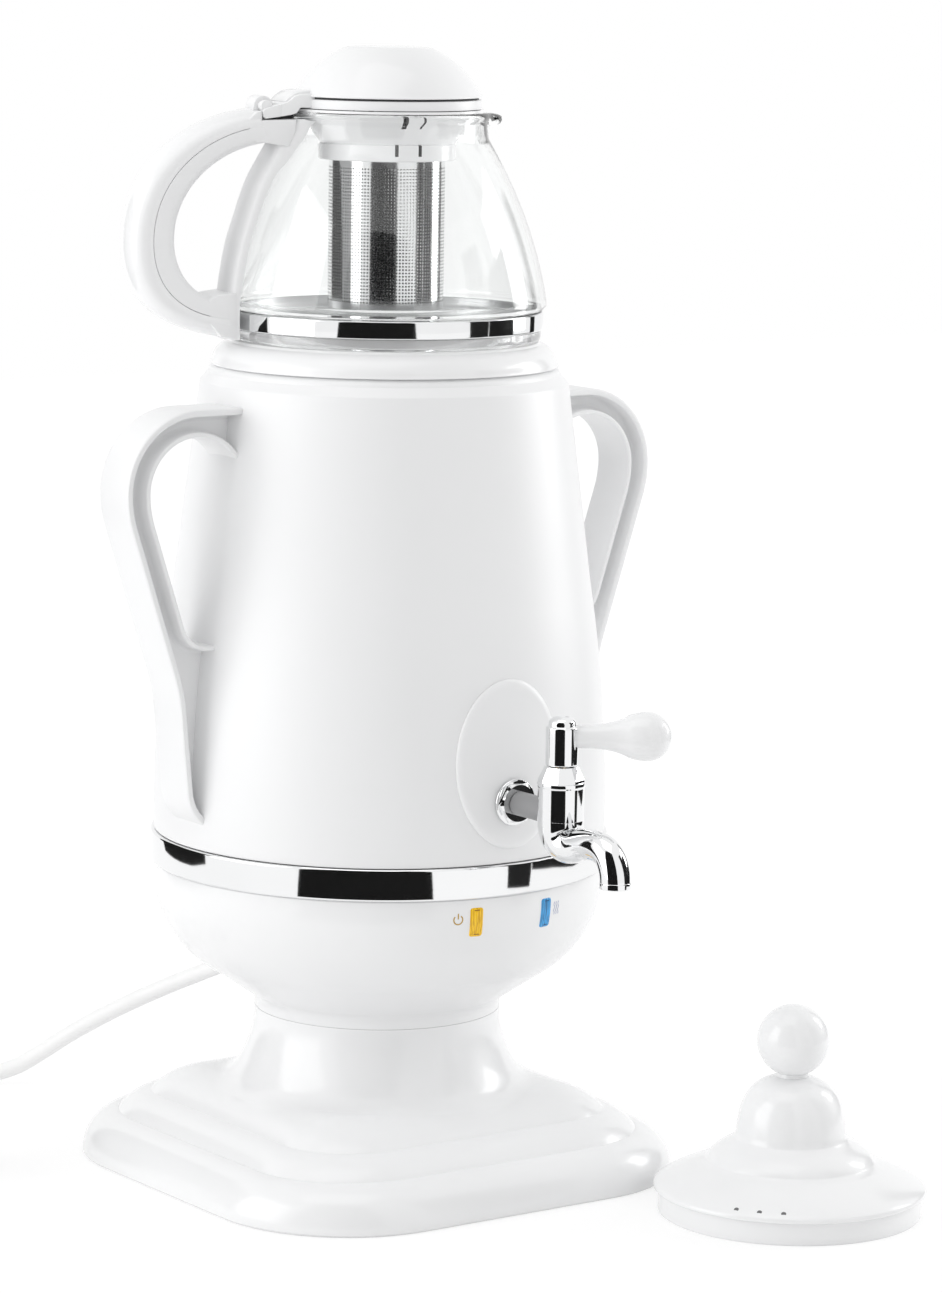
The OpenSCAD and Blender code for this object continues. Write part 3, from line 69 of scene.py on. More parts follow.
class BaseSizes(bpy.types.PropertyGroup):
    """Sizes of the base, bowl and band."""
    half: length("Half width", "Half of the base's width at its lowest step", 105.8)
    core: length("Corner offset", "Distance of the corners' centre from the middle", 47)
    step1_r: length("Lowest step", "Rounding radius of the lowest step", 17.2)
    step2_r: length("Middle step", "Rounding radius of the middle step", 22.7)
    step3_r: length("Top step", "Rounding radius of the top step", 33.5)
    neck_r: length("Neck radius", "Radius of the neck under the bowl", 51.5)
    flare_r: length("Neck flare", "Radius of the neck's concave flare", 47)
    neck_z: length("Neck top", "Height of the seam between neck and bowl", 67.6)
    bowl_r: length("Bowl radius", "Radius of the bowl at its rim", 94)
    bowl_z: length("Bowl rim", "Height of the bowl's rim", 130)
    band_r: length("Band radius", "Outer radius of the chrome band", 95.3)
    band_h: length("Band height", "Height of the chrome band", 13.2)


class BodySizes(bpy.types.PropertyGroup):
    """Sizes of the body, its collar and its side handles."""
    bottom_r: length("Bottom radius", "Radius of the body above the band", 94.1)
    top_r: length("Top radius", "Radius of the body under its shoulder", 76)
    top_z: length("Top height", "Height of the body's top face", 337)
    taper: FloatProperty(name="Taper", description="Taper of the upper body",
                         default=math.radians(9), min=0, max=0.4, subtype="ANGLE")
    collar_r: length("Collar radius", "Outer radius of the collar", 71.5)
    collar_h: length("Collar height", "Height of the collar above the body", 10)
    recess_r: length("Recess radius", "Radius of the recess in the collar", 56.6)
    mouth_r: length("Mouth radius", "Radius of the opening into the tank", 54.4)
    handle_reach: length("Handle reach", "Reach of a handle from the middle", 130)
    handle_top: length("Handle top", "Height of a handle's top", 323)
    flange_w: length("Flange width", "Width of a handle's flanges", 22)
    web_t: length("Web thickness", "Thickness of the web between the flanges", 4.4)


class TapSizes(bpy.types.PropertyGroup):
    """Sizes of the tap and the plate behind it."""
    reach: length("Reach", "Distance of the tap's upright axis from the middle", 127)
    z: length("Height", "Height of the tap's stem", 168.5)
    barrel_r: length("Barrel radius", "Radius of the tap's barrel", 9.3)
    spout_r: length("Spout radius", "Outer radius of the spout", 6.1)
    bore_r: length("Bore radius", "Radius of the water way", 3.8)
    cap_r: length("Cap radius", "Radius of the cap over the valve", 6.5)
    lever_len: length("Lever length", "Length of the lever from the tap's axis", 43.7)
    knob_r: length("Knob radius", "Radius of the lever's knob", 9.8)
    plate_w: length("Plate half width", "Half of the plate's width", 25)
    plate_h: length("Plate half height", "Half of the plate's height", 34.2)


class TeapotSizes(bpy.types.PropertyGroup):
    """Sizes of the teapot, its strainer and its lid."""
    turn: FloatProperty(name="Turn", description="Turn of the teapot about its axis",
                        default=math.radians(-15), min=-3.15, max=3.15, subtype="ANGLE")
    belly_r: length("Belly radius", "Radius of the glass at its widest", 66.2)
    curve_r: length("Wall curve", "Radius of the glass wall's big curve", 177.7)
    neck_r: length("Neck radius", "Outer radius of the glass neck", 40.6)
    wall: length("Glass wall", "Thickness of the glass", 2.2)
    lip_reach: length("Lip reach", "Reach of the pouring lip", 49.6)
    handle_reach: length("Handle reach", "Reach of the handle", 112.2)
    grip_w: length("Grip half width", "Half of the grip's width", 12)
    strainer_r: length("Strainer radius", "Radius of the strainer tube", 23.8)
    hole_columns: IntProperty(name="Hole columns", description="Holes round the strainer",
                              default=112, min=24, max=200)
    hole_rows: IntProperty(name="Hole rows", description="Rows of holes in the strainer",
                           default=41, min=8, max=80)
    lid_r: length("Lid radius", "Radius of the lid's rim", 38.9)
    lid_h: length("Lid height", "Height of the lid's dome", 20)


class LidSizes(bpy.types.PropertyGroup):
    """Sizes and place of the boiler's own lid."""
    x: length("Place X", "Place of the lid's axis along X", 96.8, -1000)
    y: length("Place Y", "Place of the lid's axis along Y", -157.6, -1000)
    flange_r: length("Flange radius", "Radius of the lid's flange", 55.6)
    ball_r: length("Ball radius", "Radius of the ball knob", 14.7)
    height: length("Height", "Overall height of the lid", 85.7)


class CordSizes(bpy.types.PropertyGroup):
    """Sizes of the mains cord."""
    diameter: length("Diameter", "Diameter of the cord", 7.2)


class Finishes(bpy.types.PropertyGroup):
    """Colours of the finishes."""
    body: colour("Body", "White of the body and the handles", (0.86, 0.863, 0.868))
    gloss: colour("Gloss", "White of the glossy mouldings", (0.87, 0.873, 0.878))
    cord: colour("Cord", "White of the cord", (0.9, 0.9, 0.898))
    sleeve: colour("Sleeve", "Grey of the sleeve on the tap's stem", (0.27, 0.27, 0.275))
    amber: colour("Amber", "Colour of the amber lens", (0.93, 0.57, 0.02))
    blue: colour("Blue", "Colour of the blue lens", (0.06, 0.35, 0.72))


GROUPS = (("samovar_base", BaseSizes), ("samovar_body", BodySizes), ("samovar_tap", TapSizes),
          ("samovar_teapot", TeapotSizes), ("samovar_lid", LidSizes), ("samovar_cord", CordSizes),
          ("samovar_finish", Finishes))


def sizes(group):
    """The group's lengths in millimetres, its angles in degrees, the rest as they are."""
    values = getattr(bpy.context.scene, group)
    out = {}
    for key, prop in values.bl_rna.properties.items():
        if key in ("rna_type", "name"):
            continue
        value = getattr(values, key)
        if prop.subtype == "DISTANCE":
            value = value / MM
        elif prop.subtype == "ANGLE":
            value = math.degrees(value)
        out[key] = value
    return type("Sizes", (), out)


# ---------------------------------------------------------------- lines and profiles

def cosd(a):
    return math.cos(math.radians(a))


def sind(a):
    return math.sin(math.radians(a))


def arc(cx, cy, r, a0, a1, n=16):
    """Points on an arc from angle a0 to a1, in degrees."""
    return [(cx + r * cosd(a0 + (a1 - a0) * i / n), cy + r * sind(a0 + (a1 - a0) * i / n))
            for i in range(n + 1)]


def bezier(p, n=16):
    """Points on a cubic curve with the four control points p."""
    out = []
    for i in range(n + 1):
        t = i / n
        u = 1 - t
        w = (u ** 3, 3 * u * u * t, 3 * u * t * t, t ** 3)
        out.append(tuple(sum(w[k] * p[k][j] for k in range(4)) for j in range(len(p[0]))))
    return out


def soften(points, cut=0.5, limit=18, n=4):
    """Rounds each corner of an open line that turns by more than limit degrees."""
    pts = [Vector(p) for p in points]
    out = [tuple(pts[0])]
    for a, p, b in zip(pts, pts[1:], pts[2:]):
        d1, d2 = p - a, b - p
        if min(d1.length, d2.length) < SAME_PLACE:
            continue
        if math.degrees(d1.angle(d2)) < limit:
            out.append(tuple(p))
            continue
        c = min(cut, d1.length * 0.45, d2.length * 0.45)
        s, e = p - d1.normalized() * c, p + d2.normalized() * c
        for k in range(n + 1):
            t = k / n
            out.append(tuple(s * (1 - t) ** 2 + p * 2 * t * (1 - t) + e * t * t))
    return out + [tuple(pts[-1])]


def at(x, z, *offsets):
    """Points given by their distances from (x, z)."""
    return [(x + dx, z + dz) for dx, dz in offsets]


# ---------------------------------------------------------------- meshes

SAME_PLACE = 1e-6


def add_object(name, data):
    """Puts a mesh or the data of a lamp or camera into the scene."""
    obj = bpy.data.objects.new(name, data)
    bpy.context.scene.collection.objects.link(obj)
    return obj


def mesh_object(name, verts, faces, sharp=35):
    """An object from points in mm, smooth but for edges sharper than the angle."""
    mesh = bpy.data.meshes.new(name)
    mesh.from_pydata([tuple(c * MM for c in v) for v in verts], [], faces)
    mesh.validate()
    return tidy_mesh(add_object(name, mesh), sharp)


def tidy_mesh(obj, sharp):
    """Merges doubled points, turns faces outward and marks sharp edges."""
    bm = bmesh.new()
    bm.from_mesh(obj.data)
    bmesh.ops.remove_doubles(bm, verts=bm.verts, dist=SAME_PLACE)
    bmesh.ops.recalc_face_normals(bm, faces=bm.faces)
    for face in bm.faces:
        face.smooth = True
    for edge in bm.edges:
        edge.smooth = len(edge.link_faces) != 2 or edge.calc_face_angle(0) < math.radians(sharp)
    bm.to_mesh(obj.data)
    bm.free()
    obj.data.update()
    return obj


def join(name, objects):
    """One object out of several, with their meshes side by side."""
    mesh = bpy.data.meshes.new(name)
    bm = bmesh.new()
    for obj in objects:
        old = obj.data
        bm.from_mesh(old)
        bpy.data.objects.remove(obj)
        bpy.data.meshes.remove(old)
    bm.to_mesh(mesh)
    bm.free()
    return add_object(name, mesh)


def lathe(name, profile, steps=160, sharp=35, warp=None, closed=True, angles=None):
    """A body turned from (radius, height) points round Z; warp(k, r, z, a) bends each point."""
    angles = angles or [360 * i / steps for i in range(steps)]
    verts, rings, faces = [], [], []
    for k, (r, z) in enumerate(profile):
        first = len(verts)
        if r < SAME_PLACE:
            verts.append((0, 0, z))
        else:
            for a in angles:
                rr, zz = warp(k, r, z, a) if warp else (r, z)
                verts.append((rr * cosd(a), rr * sind(a), zz))
        rings.append(range(first, len(verts)))
    for low, high in zip(rings, rings[1:] + (rings[:1] if closed else [])):
        for i in range(max(len(low), len(high))):
            j = (i + 1) % len(angles)
            if len(low) > 1 and len(high) > 1:
                faces.append((low[i], low[j], high[j], high[i]))
            elif len(high) > 1:
                faces.append((low[0], high[i], high[j]))
            elif len(low) > 1:
                faces.append((low[i], low[j], high[0]))
    return mesh_object(name, verts, faces, sharp)


def loft(name, rings, sharp=35, start=True, end=True, loop=False):
    """A skin over rings of equal numbers of points, each ring closed, with a cap at start and end."""
    verts = [v for ring in rings for v in ring]
    n = len(rings[0])
    faces = []
    for i in range(len(rings) if loop else len(rings) - 1):
        k = (i + 1) % len(rings)
        for j in range(n):
            m = (j + 1) % n
            faces.append((i * n + j, i * n + m, k * n + m, k * n + j))
    if start and not loop:
        faces.append(tuple(range(n - 1, -1, -1)))
    if end and not loop:
        faces.append(tuple((len(rings) - 1) * n + j for j in range(n)))
    return mesh_object(name, verts, faces, sharp)


def tube(name, path, radius, sides, caps=True):
    """A round tube along points; radius is a number or a function of the place along it."""
    pts = [Vector(p) for p in path]
    rings = []
    side = (pts[1] - pts[0]).normalized().orthogonal().normalized()
    for i, p in enumerate(pts):
        t = (pts[min(i + 1, len(pts) - 1)] - pts[max(i - 1, 0)]).normalized()
        side = (side - t * side.dot(t)).normalized()
        up = t.cross(side)
        r = radius(i / (len(pts) - 1)) if callable(radius) else radius
        rings.append([tuple(p + r * (cosd(360 * k / sides) * side + sind(360 * k / sides) * up))
                      for k in range(sides)])
    return loft(name, rings, 40, caps, caps)


def plate(name, outline, half, bevel=0.4):
    """A flat piece: an outline in X and Z, half thick to each side of Y, with soft edges."""
    bm = bmesh.new()
    loops = [[bm.verts.new((x * MM, y * MM, z * MM)) for x, z in outline] for y in (-half, half)]
    bm.faces.new(loops[0])
    bm.faces.new(list(reversed(loops[1])))
    for i in range(len(outline)):
        j = (i + 1) % len(outline)
        bm.faces.new((loops[0][j], loops[0][i], loops[1][i], loops[1][j]))
    bmesh.ops.recalc_face_normals(bm, faces=bm.faces)
    if bevel:
        edges = [e for e in bm.edges if e.calc_face_angle(0) > math.radians(40)]
        bmesh.ops.bevel(bm, geom=edges, offset=bevel * MM, segments=3, profile=0.5,
                        affect="EDGES", clamp_overlap=True)
    mesh = bpy.data.meshes.new(name)
    bm.to_mesh(mesh)
    bm.free()
    return tidy_mesh(add_object(name, mesh), 30)


def move(obj, matrix):
    """Moves an object's mesh, leaving the object at the origin."""
    obj.data.transform(matrix)
    obj.data.update()
    return obj


def shift(x, y, z):
    return Matrix.Translation(Vector((x, y, z)) * MM)


def turn(angle, axis="Z"):
    return Matrix.Rotation(math.radians(angle), 4, axis)


def round_corner_path(core, n=20, m=24):
    """Centres and outward directions round a square with round corners: n steps a corner, m a side."""
    out = []
    corners = ((core, core), (-core, core), (-core, -core), (core, -core))
    for k, (cx, cy) in enumerate(corners):
        for i in range(n + 1):
            a = 90 * k + 90 * i / n
            out.append((cx, cy, cosd(a), sind(a)))
        nx, ny = corners[(k + 1) % 4]
        for i in range(1, m):
            out.append((cx + (nx - cx) * i / m, cy + (ny - cy) * i / m, *out[-1][2:]))
    return out


def paint_faces(obj, material, test):
    """Gives a second material to the faces whose centre, in mm, passes the test."""
    obj.data.materials.append(material)
    last = len(obj.data.materials) - 1
    for face in obj.data.polygons:
        if test(*(c / MM for c in face.center)):
            face.material_index = last


# ---------------------------------------------------------------- shader groups

WORN_EDGE = (0.53, 0.62)        # Pointiness at which an edge starts to lighten and is lightest
PLASTIC_TONES = (0.985, 1.015)  # darkest and lightest share of a plastic's colour
METAL_TONES = (0.96, 1.04)


def add_node(tree, kind, sockets=None, **settings):
    """Adds a node: its settings first, then for each socket a value or the output that feeds it."""
    node = tree.nodes.new("ShaderNode" + kind)
    for key, value in settings.items():
        setattr(node, key, value)
    for socket, value in (sockets or {}).items():
        if isinstance(value, bpy.types.NodeSocket):
            tree.links.new(value, node.inputs[socket])
        else:
            node.inputs[socket].default_value = value
    return node


def maths(tree, operation, *terms):
    """The result of a Math node."""
    return add_node(tree, "Math", dict(enumerate(terms)), operation=operation).outputs[0]


def noise(tree, place, scale, detail, roughness=0.5):
    """The value of a noise texture, about 0 to 1."""
    sockets = {"Vector": place, "Scale": scale, "Detail": detail, "Roughness": roughness}
    return add_node(tree, "TexNoise", sockets).outputs["Fac"]


def ramp(tree, source, sockets):
    """The result of a Map Range node; a range that isn't given is 0 to 1."""
    return add_node(tree, "MapRange", {"Value": source, **sockets}).outputs["Result"]


def stretched(tree, place, factors):
    """A place whose coordinates are multiplied by factors."""
    return add_node(tree, "VectorMath", {0: place, 1: factors}, operation="MULTIPLY").outputs[0]


def new_group(name, inputs):
    """A shader group with inputs of its own, and the outputs of its input node."""
    group = bpy.data.node_groups.new(name, "ShaderNodeTree")
    for label, kind, default in inputs:
        socket = group.interface.new_socket(label, in_out="INPUT", socket_type="NodeSocket" + kind)
        socket.default_value = default
    for label, kind in (("Color", "Color"), ("Roughness", "Float"), ("Height", "Float")):
        group.interface.new_socket(label, in_out="OUTPUT", socket_type="NodeSocket" + kind)
    return group, group.nodes.new("NodeGroupInput").outputs


def lead_out(group, colour, cloud, tones, roughness, height):
    """Shades the colour by a cloud of tones and leads the three results to the group's outputs."""
    value = ramp(group, cloud, {"To Min": tones[0], "To Max": tones[1]})
    shade = add_node(group, "HueSaturation", {"Value": value, "Color": colour})
    end = group.nodes.new("NodeGroupOutput")
    for label, source in (("Color", shade.outputs[0]), ("Roughness", roughness), ("Height", height)):
        group.links.new(source, end.inputs[label])


def moulded_group():
    """Moulded plastic: faint grain, handling haze and a slightly worn, lighter edge."""
    name = "Moulded Plastic Surface"
    if name in bpy.data.node_groups:
        return bpy.data.node_groups[name]
    group, given = new_group(name, (
        ("Color", "Color", (0.8, 0.8, 0.8, 1)), ("Edge Color", "Color", (1, 1, 1, 1)),
        ("Roughness", "Float", 0.3), ("Haze", "Float", 0.08),
        ("Grain Scale", "Float", 900), ("Grain Depth", "Float", 0.5)))
    place = add_node(group, "TexCoord").outputs["Object"]
    grain = noise(group, place, given["Grain Scale"], 3)
    flow = noise(group, place, 14, 4, 0.62)
    wear = add_node(group, "NewGeometry").outputs["Pointiness"]
    edge = ramp(group, wear, {"From Min": WORN_EDGE[0], "From Max": WORN_EDGE[1]})
    tone = add_node(group, "Mix", {"Factor": maths(group, "MULTIPLY", edge, flow), "A": given["Color"],
                                   "B": given["Edge Color"]}, data_type="RGBA")
    lead_out(group, tone.outputs["Result"], flow, PLASTIC_TONES,
             maths(group, "MULTIPLY_ADD", flow, given["Haze"], given["Roughness"]),
             maths(group, "MULTIPLY", grain, given["Grain Depth"]))
    return group


def metal_group():
    """Metal: fine streaks along one direction and smudges in the polish."""
    name = "Metal Surface"
    if name in bpy.data.node_groups:
        return bpy.data.node_groups[name]
    group, given = new_group(name, (
        ("Color", "Color", (0.8, 0.8, 0.8, 1)), ("Roughness", "Float", 0.1), ("Smudge", "Float", 0.05),
        ("Streak Scale", "Float", 60), ("Streak Depth", "Float", 0.2), ("Stretch", "Vector", (1, 1, 30))))
    place = add_node(group, "TexCoord").outputs["Object"]
    streak = noise(group, stretched(group, place, given["Stretch"]), given["Streak Scale"], 3)
    smudge = noise(group, place, 45, 5)
    lead_out(group, given["Color"], streak, METAL_TONES,
             maths(group, "MULTIPLY_ADD", smudge, given["Smudge"], given["Roughness"]),
             maths(group, "MULTIPLY", streak, given["Streak Depth"]))
    return group


# ---------------------------------------------------------------- materials

def surface(name, shader, group=None, values=None, relief=None):
    """A Principled material: shader holds plain socket values; a group gives colour, roughness and
    relief, whose distance in mm and strength are the last value."""
    if name in bpy.data.materials:
        return bpy.data.materials[name]
    material = bpy.data.materials.new(name)
    material.use_nodes = True
    tree = material.node_tree
    principled = tree.nodes["Principled BSDF"].inputs
    for label, value in shader.items():
        principled[label].default_value = value
    if group:
        made = add_node(tree, "Group", values, node_tree=group).outputs
        bump = add_node(tree, "Bump", {"Distance": relief[0] * MM, "Strength": relief[1],
                                       "Height": made["Height"]})
        tree.links.new(made["Color"], principled["Base Color"])
        tree.links.new(made["Roughness"], principled["Roughness"])
        tree.links.new(bump.outputs["Normal"], principled["Normal"])
    return material


def rgba(c):
    return (*c, 1.0)


def lighter(c, k):
    return rgba(min(1.0, v * k) for v in c)


def plastic(name, c, rough, haze, grain, relief, shader, edge=1.06):
    """A moulded material: grain is its scale and depth, edge the lightening of a worn edge."""
    values = {"Color": rgba(c), "Edge Color": lighter(c, edge), "Roughness": rough, "Haze": haze,
              "Grain Scale": grain[0], "Grain Depth": grain[1]}
    return surface(name, shader, moulded_group(), values, relief)


def metal(name, c, rough, smudge, streaks, stretch, relief):
    """A metal: streaks is their scale and depth, stretch how they are drawn out along Z."""
    values = {"Color": rgba(c), "Roughness": rough, "Smudge": smudge, "Streak Scale": streaks[0],
              "Streak Depth": streaks[1], "Stretch": (1, 1, stretch)}
    return surface(name, {"Metallic": 1.0}, metal_group(), values, relief)


def satin_white():
    return plastic("Satin White Plastic", sizes("samovar_finish").body, 0.32, 0.08, (1400, 0.5),
                   (0.04, 0.35), {"Specular IOR Level": 0.5, "IOR": 1.49})


def gloss_white():
    return plastic("Glossy White Plastic", sizes("samovar_finish").gloss, 0.13, 0.07, (260, 0.25),
                   (0.03, 0.25), {"Specular IOR Level": 0.5, "IOR": 1.5})


def cord_white():
    return plastic("White Cord Sheath", sizes("samovar_finish").cord, 0.4, 0.12, (700, 0.8), (0.06, 0.4),
                   {"Specular IOR Level": 0.45})


def grey_sleeve():
    return plastic("Grey Sleeve Plastic", sizes("samovar_finish").sleeve, 0.36, 0.1, (1600, 0.6), (0.04, 0.4),
                   {"Specular IOR Level": 0.5}, 1.3)


# Matte dark rubber for the feet and the gaskets; the same maker also gives the near-black painted shade of
# seams, slots and vents.
def rubber_and_painted_shade(name="Black Foot Rubber", c=(0.02, 0.02, 0.021)):
    return plastic(name, c, 0.62, 0.2, (1800, 1.0), (0.08, 0.6), {"Specular IOR Level": 0.35}, 2.0)


# Painted shade: a near-black finish laid where a narrow gap lies in shadow.
def seam_shadow():
    return rubber_and_painted_shade("Seam Shadow", (0.05, 0.05, 0.052))


def pale_ceramic():
    return plastic("Terminal Ceramic", (0.72, 0.69, 0.62), 0.5, 0.15, (900, 0.8), (0.06, 0.5),
                   {"Specular IOR Level": 0.4})


def brown_resin():
    return plastic("Thermostat Resin", (0.06, 0.025, 0.012), 0.34, 0.15, (1200, 0.7), (0.05, 0.4),
                   {"Specular IOR Level": 0.5}, 1.8)


# Flat ink for the printed marks; also used for the painted shade at the lenses' ends.
def ink_and_painted_shade(name, c):
    return plastic(name, c, 0.3, 0.2, (2500, 0.6), (0.02, 0.3), {"Specular IOR Level": 0.4})


def chrome():
    return metal("Chrome Plate", (0.86, 0.865, 0.87), 0.03, 0.05, (30, 0.05), 1, (0.02, 0.1))


def strainer_steel():
    return metal("Polished Strainer Steel", (0.86, 0.862, 0.865), 0.1, 0.08, (220, 0.2), 0.06, (0.02, 0.15))


# Darker, duller steel for the tube's inside and its holes' walls: painted shade inside the tube.
def strainer_inside_shade():
    return metal("Strainer Inside", (0.5, 0.5, 0.505), 0.45, 0.12, (220, 0.4), 0.06, (0.03, 0.25))


# A duller plating for the band's inside, with its colour painted lighter than the chrome: painted light, so
# the inside shows pale through the glass.
def painted_light_plating():
    return metal("Dull Side of the Band", (0.93, 0.93, 0.935), 0.32, 0.1, (220, 0.3), 1, (0.03, 0.2))


def brushed_steel():
    return metal("Brushed Steel", (0.56, 0.565, 0.57), 0.24, 0.12, (90, 0.6), 25, (0.04, 0.4))


def cast_aluminium():
    return metal("Cast Aluminium", (0.7, 0.7, 0.71), 0.42, 0.15, (300, 1.0), 1, (0.1, 0.5))


def turned_brass():
    return metal("Turned Brass", (0.78, 0.58, 0.26), 0.18, 0.12, (200, 0.5), 12, (0.04, 0.4))


def clear_glass():
    return surface("Teapot Glass", {"Base Color": (0.985, 0.992, 0.99, 1), "Roughness": 0.0, "IOR": 1.47,
                                    "Transmission Weight": 1.0, "Metallic": 0.0})


def clear_plastic():
    return plastic("Clear Ring Plastic", (0.95, 0.955, 0.96), 0.03, 0.05, (300, 0.2), (0.03, 0.2),
                   {"IOR": 1.45, "Transmission Weight": 0.85, "Metallic": 0.0})


def lens_plastic(name, c, glow):
    """A translucent lens: upright streaks of a deeper and a lighter tone, with a little glow."""
    if name in bpy.data.materials:
        return bpy.data.materials[name]
    material = plastic(name, c, 0.1, 0.1, (500, 0.4), (0.04, 0.3),
                       {"Emission Strength": glow, "IOR": 1.49}, 1.3)
    tree = material.node_tree
    place = add_node(tree, "TexCoord").outputs["Object"]
    streaks = noise(tree, stretched(tree, place, (1900, 1900, 60)), 1, 2)
    share = ramp(tree, streaks, {"From Min": 0.32, "From Max": 0.62})
    deep = rgba(v * k for v, k in zip(c, (0.62, 0.5, 0.5)))
    tint = add_node(tree, "Mix", {"Factor": share, "A": deep, "B": lighter(c, 1.12)}, data_type="RGBA")
    group = next(node for node in tree.nodes if node.type == "GROUP")
    tree.links.new(tint.outputs["Result"], group.inputs["Color"])
    tree.links.new(tint.outputs["Result"], tree.nodes["Principled BSDF"].inputs["Emission Color"])
    return material


# ---------------------------------------------------------------- putting pieces on the frame

def finish(obj, material, body, slot, *nodes):
    """Gives a piece its material and body and hides the CAD nodes it stands for; slot is not used."""
    obj.data.materials.clear()
    obj.data.materials.append(material)
    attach(obj, body)
    if nodes:
        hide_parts(*nodes)
    return obj


def dress(material, *names):
    """Gives CAD nodes that stay a better material."""
    for name in names:
        obj = NODES[name]
        obj.data.materials.clear()
        obj.data.materials.append(material)


# ---------------------------------------------------------------- camera

CAMERA_PLACE = (-1.10233, -1.60865, 0.51862)
CAMERA_FORWARD = (0.57422, 0.80452, -0.15170)
CAMERA_ROLL = 0.8537
CAMERA_LENS = 132.138


def make_camera():
    data = bpy.data.cameras.new("Camera")
    data.sensor_fit = "VERTICAL"
    data.sensor_height = 36
    data.sensor_width = 36
    data.lens = CAMERA_LENS
    data.clip_start = 0.05
    data.clip_end = 50
    obj = add_object("Camera", data)
    forward = Vector(CAMERA_FORWARD).normalized()
    right = forward.cross(Vector((0, 0, 1))).normalized()
    up = right.cross(forward)
    side = cosd(CAMERA_ROLL) * right + sind(CAMERA_ROLL) * up
    top = -sind(CAMERA_ROLL) * right + cosd(CAMERA_ROLL) * up
    rows = Matrix((side, top, -forward)).transposed().to_4x4()
    obj.matrix_world = Matrix.Translation(Vector(CAMERA_PLACE)) @ rows
    bpy.context.scene.camera = obj


# ---------------------------------------------------------------- cord

CORD_ROUTE = [(0, 101.5, 68.8), (0, 106, 67.2), (-1, 111, 65), (-4, 119, 60.8), (-9, 129, 55.6),
              (-15, 138, 50.6), (-22, 147, 45), (-30, 156, 38.8), (-38, 165, 32), (-47, 174, 24.2),
              (-56, 183, 15.4), (-64, 190, 8.8), (-73, 197, 5), (-84, 204, 3.7), (-96, 211.5, 3.6)]
COIL_CENTRE = (-137, 188.5)
COIL_TURNS = [(50, 41.8, 3.6), (330, 41.8, 3.6), (410, 37.5, 3.6), (450, 34.6, 3.6),
              (690, 34.6, 3.6), (730, 35.5, 5.6), (770, 37.4, 8.6), (800, 38.2, 9.8), (900, 38.2, 9.8)]
TAIL_ROUTE = [(-175.2, 180, 10.4), (-175.2, 172, 10.8), (-175.2, 165, 10), (-175, 158, 7.9),
              (-174.8, 151, 5.3), (-174.5, 144, 3.8), (-174.2, 137, 4), (-174, 130, 5.6),
              (-174, 126, 6.7)]
GLAND_START, GLAND_DROP = (0, 62, 83.2), 20
PLUG_START, PLUG_TILT = TAIL_ROUTE[-1], 15
RELIEF_RIBS, PLUG_RIBS = 6, 5
PIN_OFFSET = 9.5


def coil_points():
    """Points of the coil: one turn outside, one inside, one on top of them."""
    places = []
    for (a0, r0, z0), (a1, r1, z1) in zip(COIL_TURNS, COIL_TURNS[1:]):
        n = max(2, int((a1 - a0) / 12))
        for i in range(n):
            t = i / n
            e = t * t * (3 - 2 * t)
            places.append((a0 + (a1 - a0) * t, r0 + (r1 - r0) * e, z0 + (z1 - z0) * e))
    x, y = COIL_CENTRE
    return [(x + r * cosd(a), y + r * sind(a), z) for a, r, z in places + COIL_TURNS[-1:]]


def smooth_path(points, per):
    """A curve through the points, by Catmull and Rom, with per steps from each to the next."""
    pts = [Vector(p) for p in points]
    out = []
    for p0, p1, p2, p3 in zip(pts[:1] + pts, pts, pts[1:], pts[2:] + pts[-1:]):
        for k in range(per):
            t = k / per
            out.append(0.5 * (2 * p1 + (p2 - p0) * t + (2 * p0 - 5 * p1 + 4 * p2 - p3) * t * t
                              + (3 * p1 - p0 - 3 * p2 + p3) * t ** 3))
    return out + [pts[-1]]


def gland_frame():
    return shift(*GLAND_START) @ turn(-90 - GLAND_DROP, "X")


def plug_frame():
    return shift(*PLUG_START) @ turn(90 - PLUG_TILT, "X")


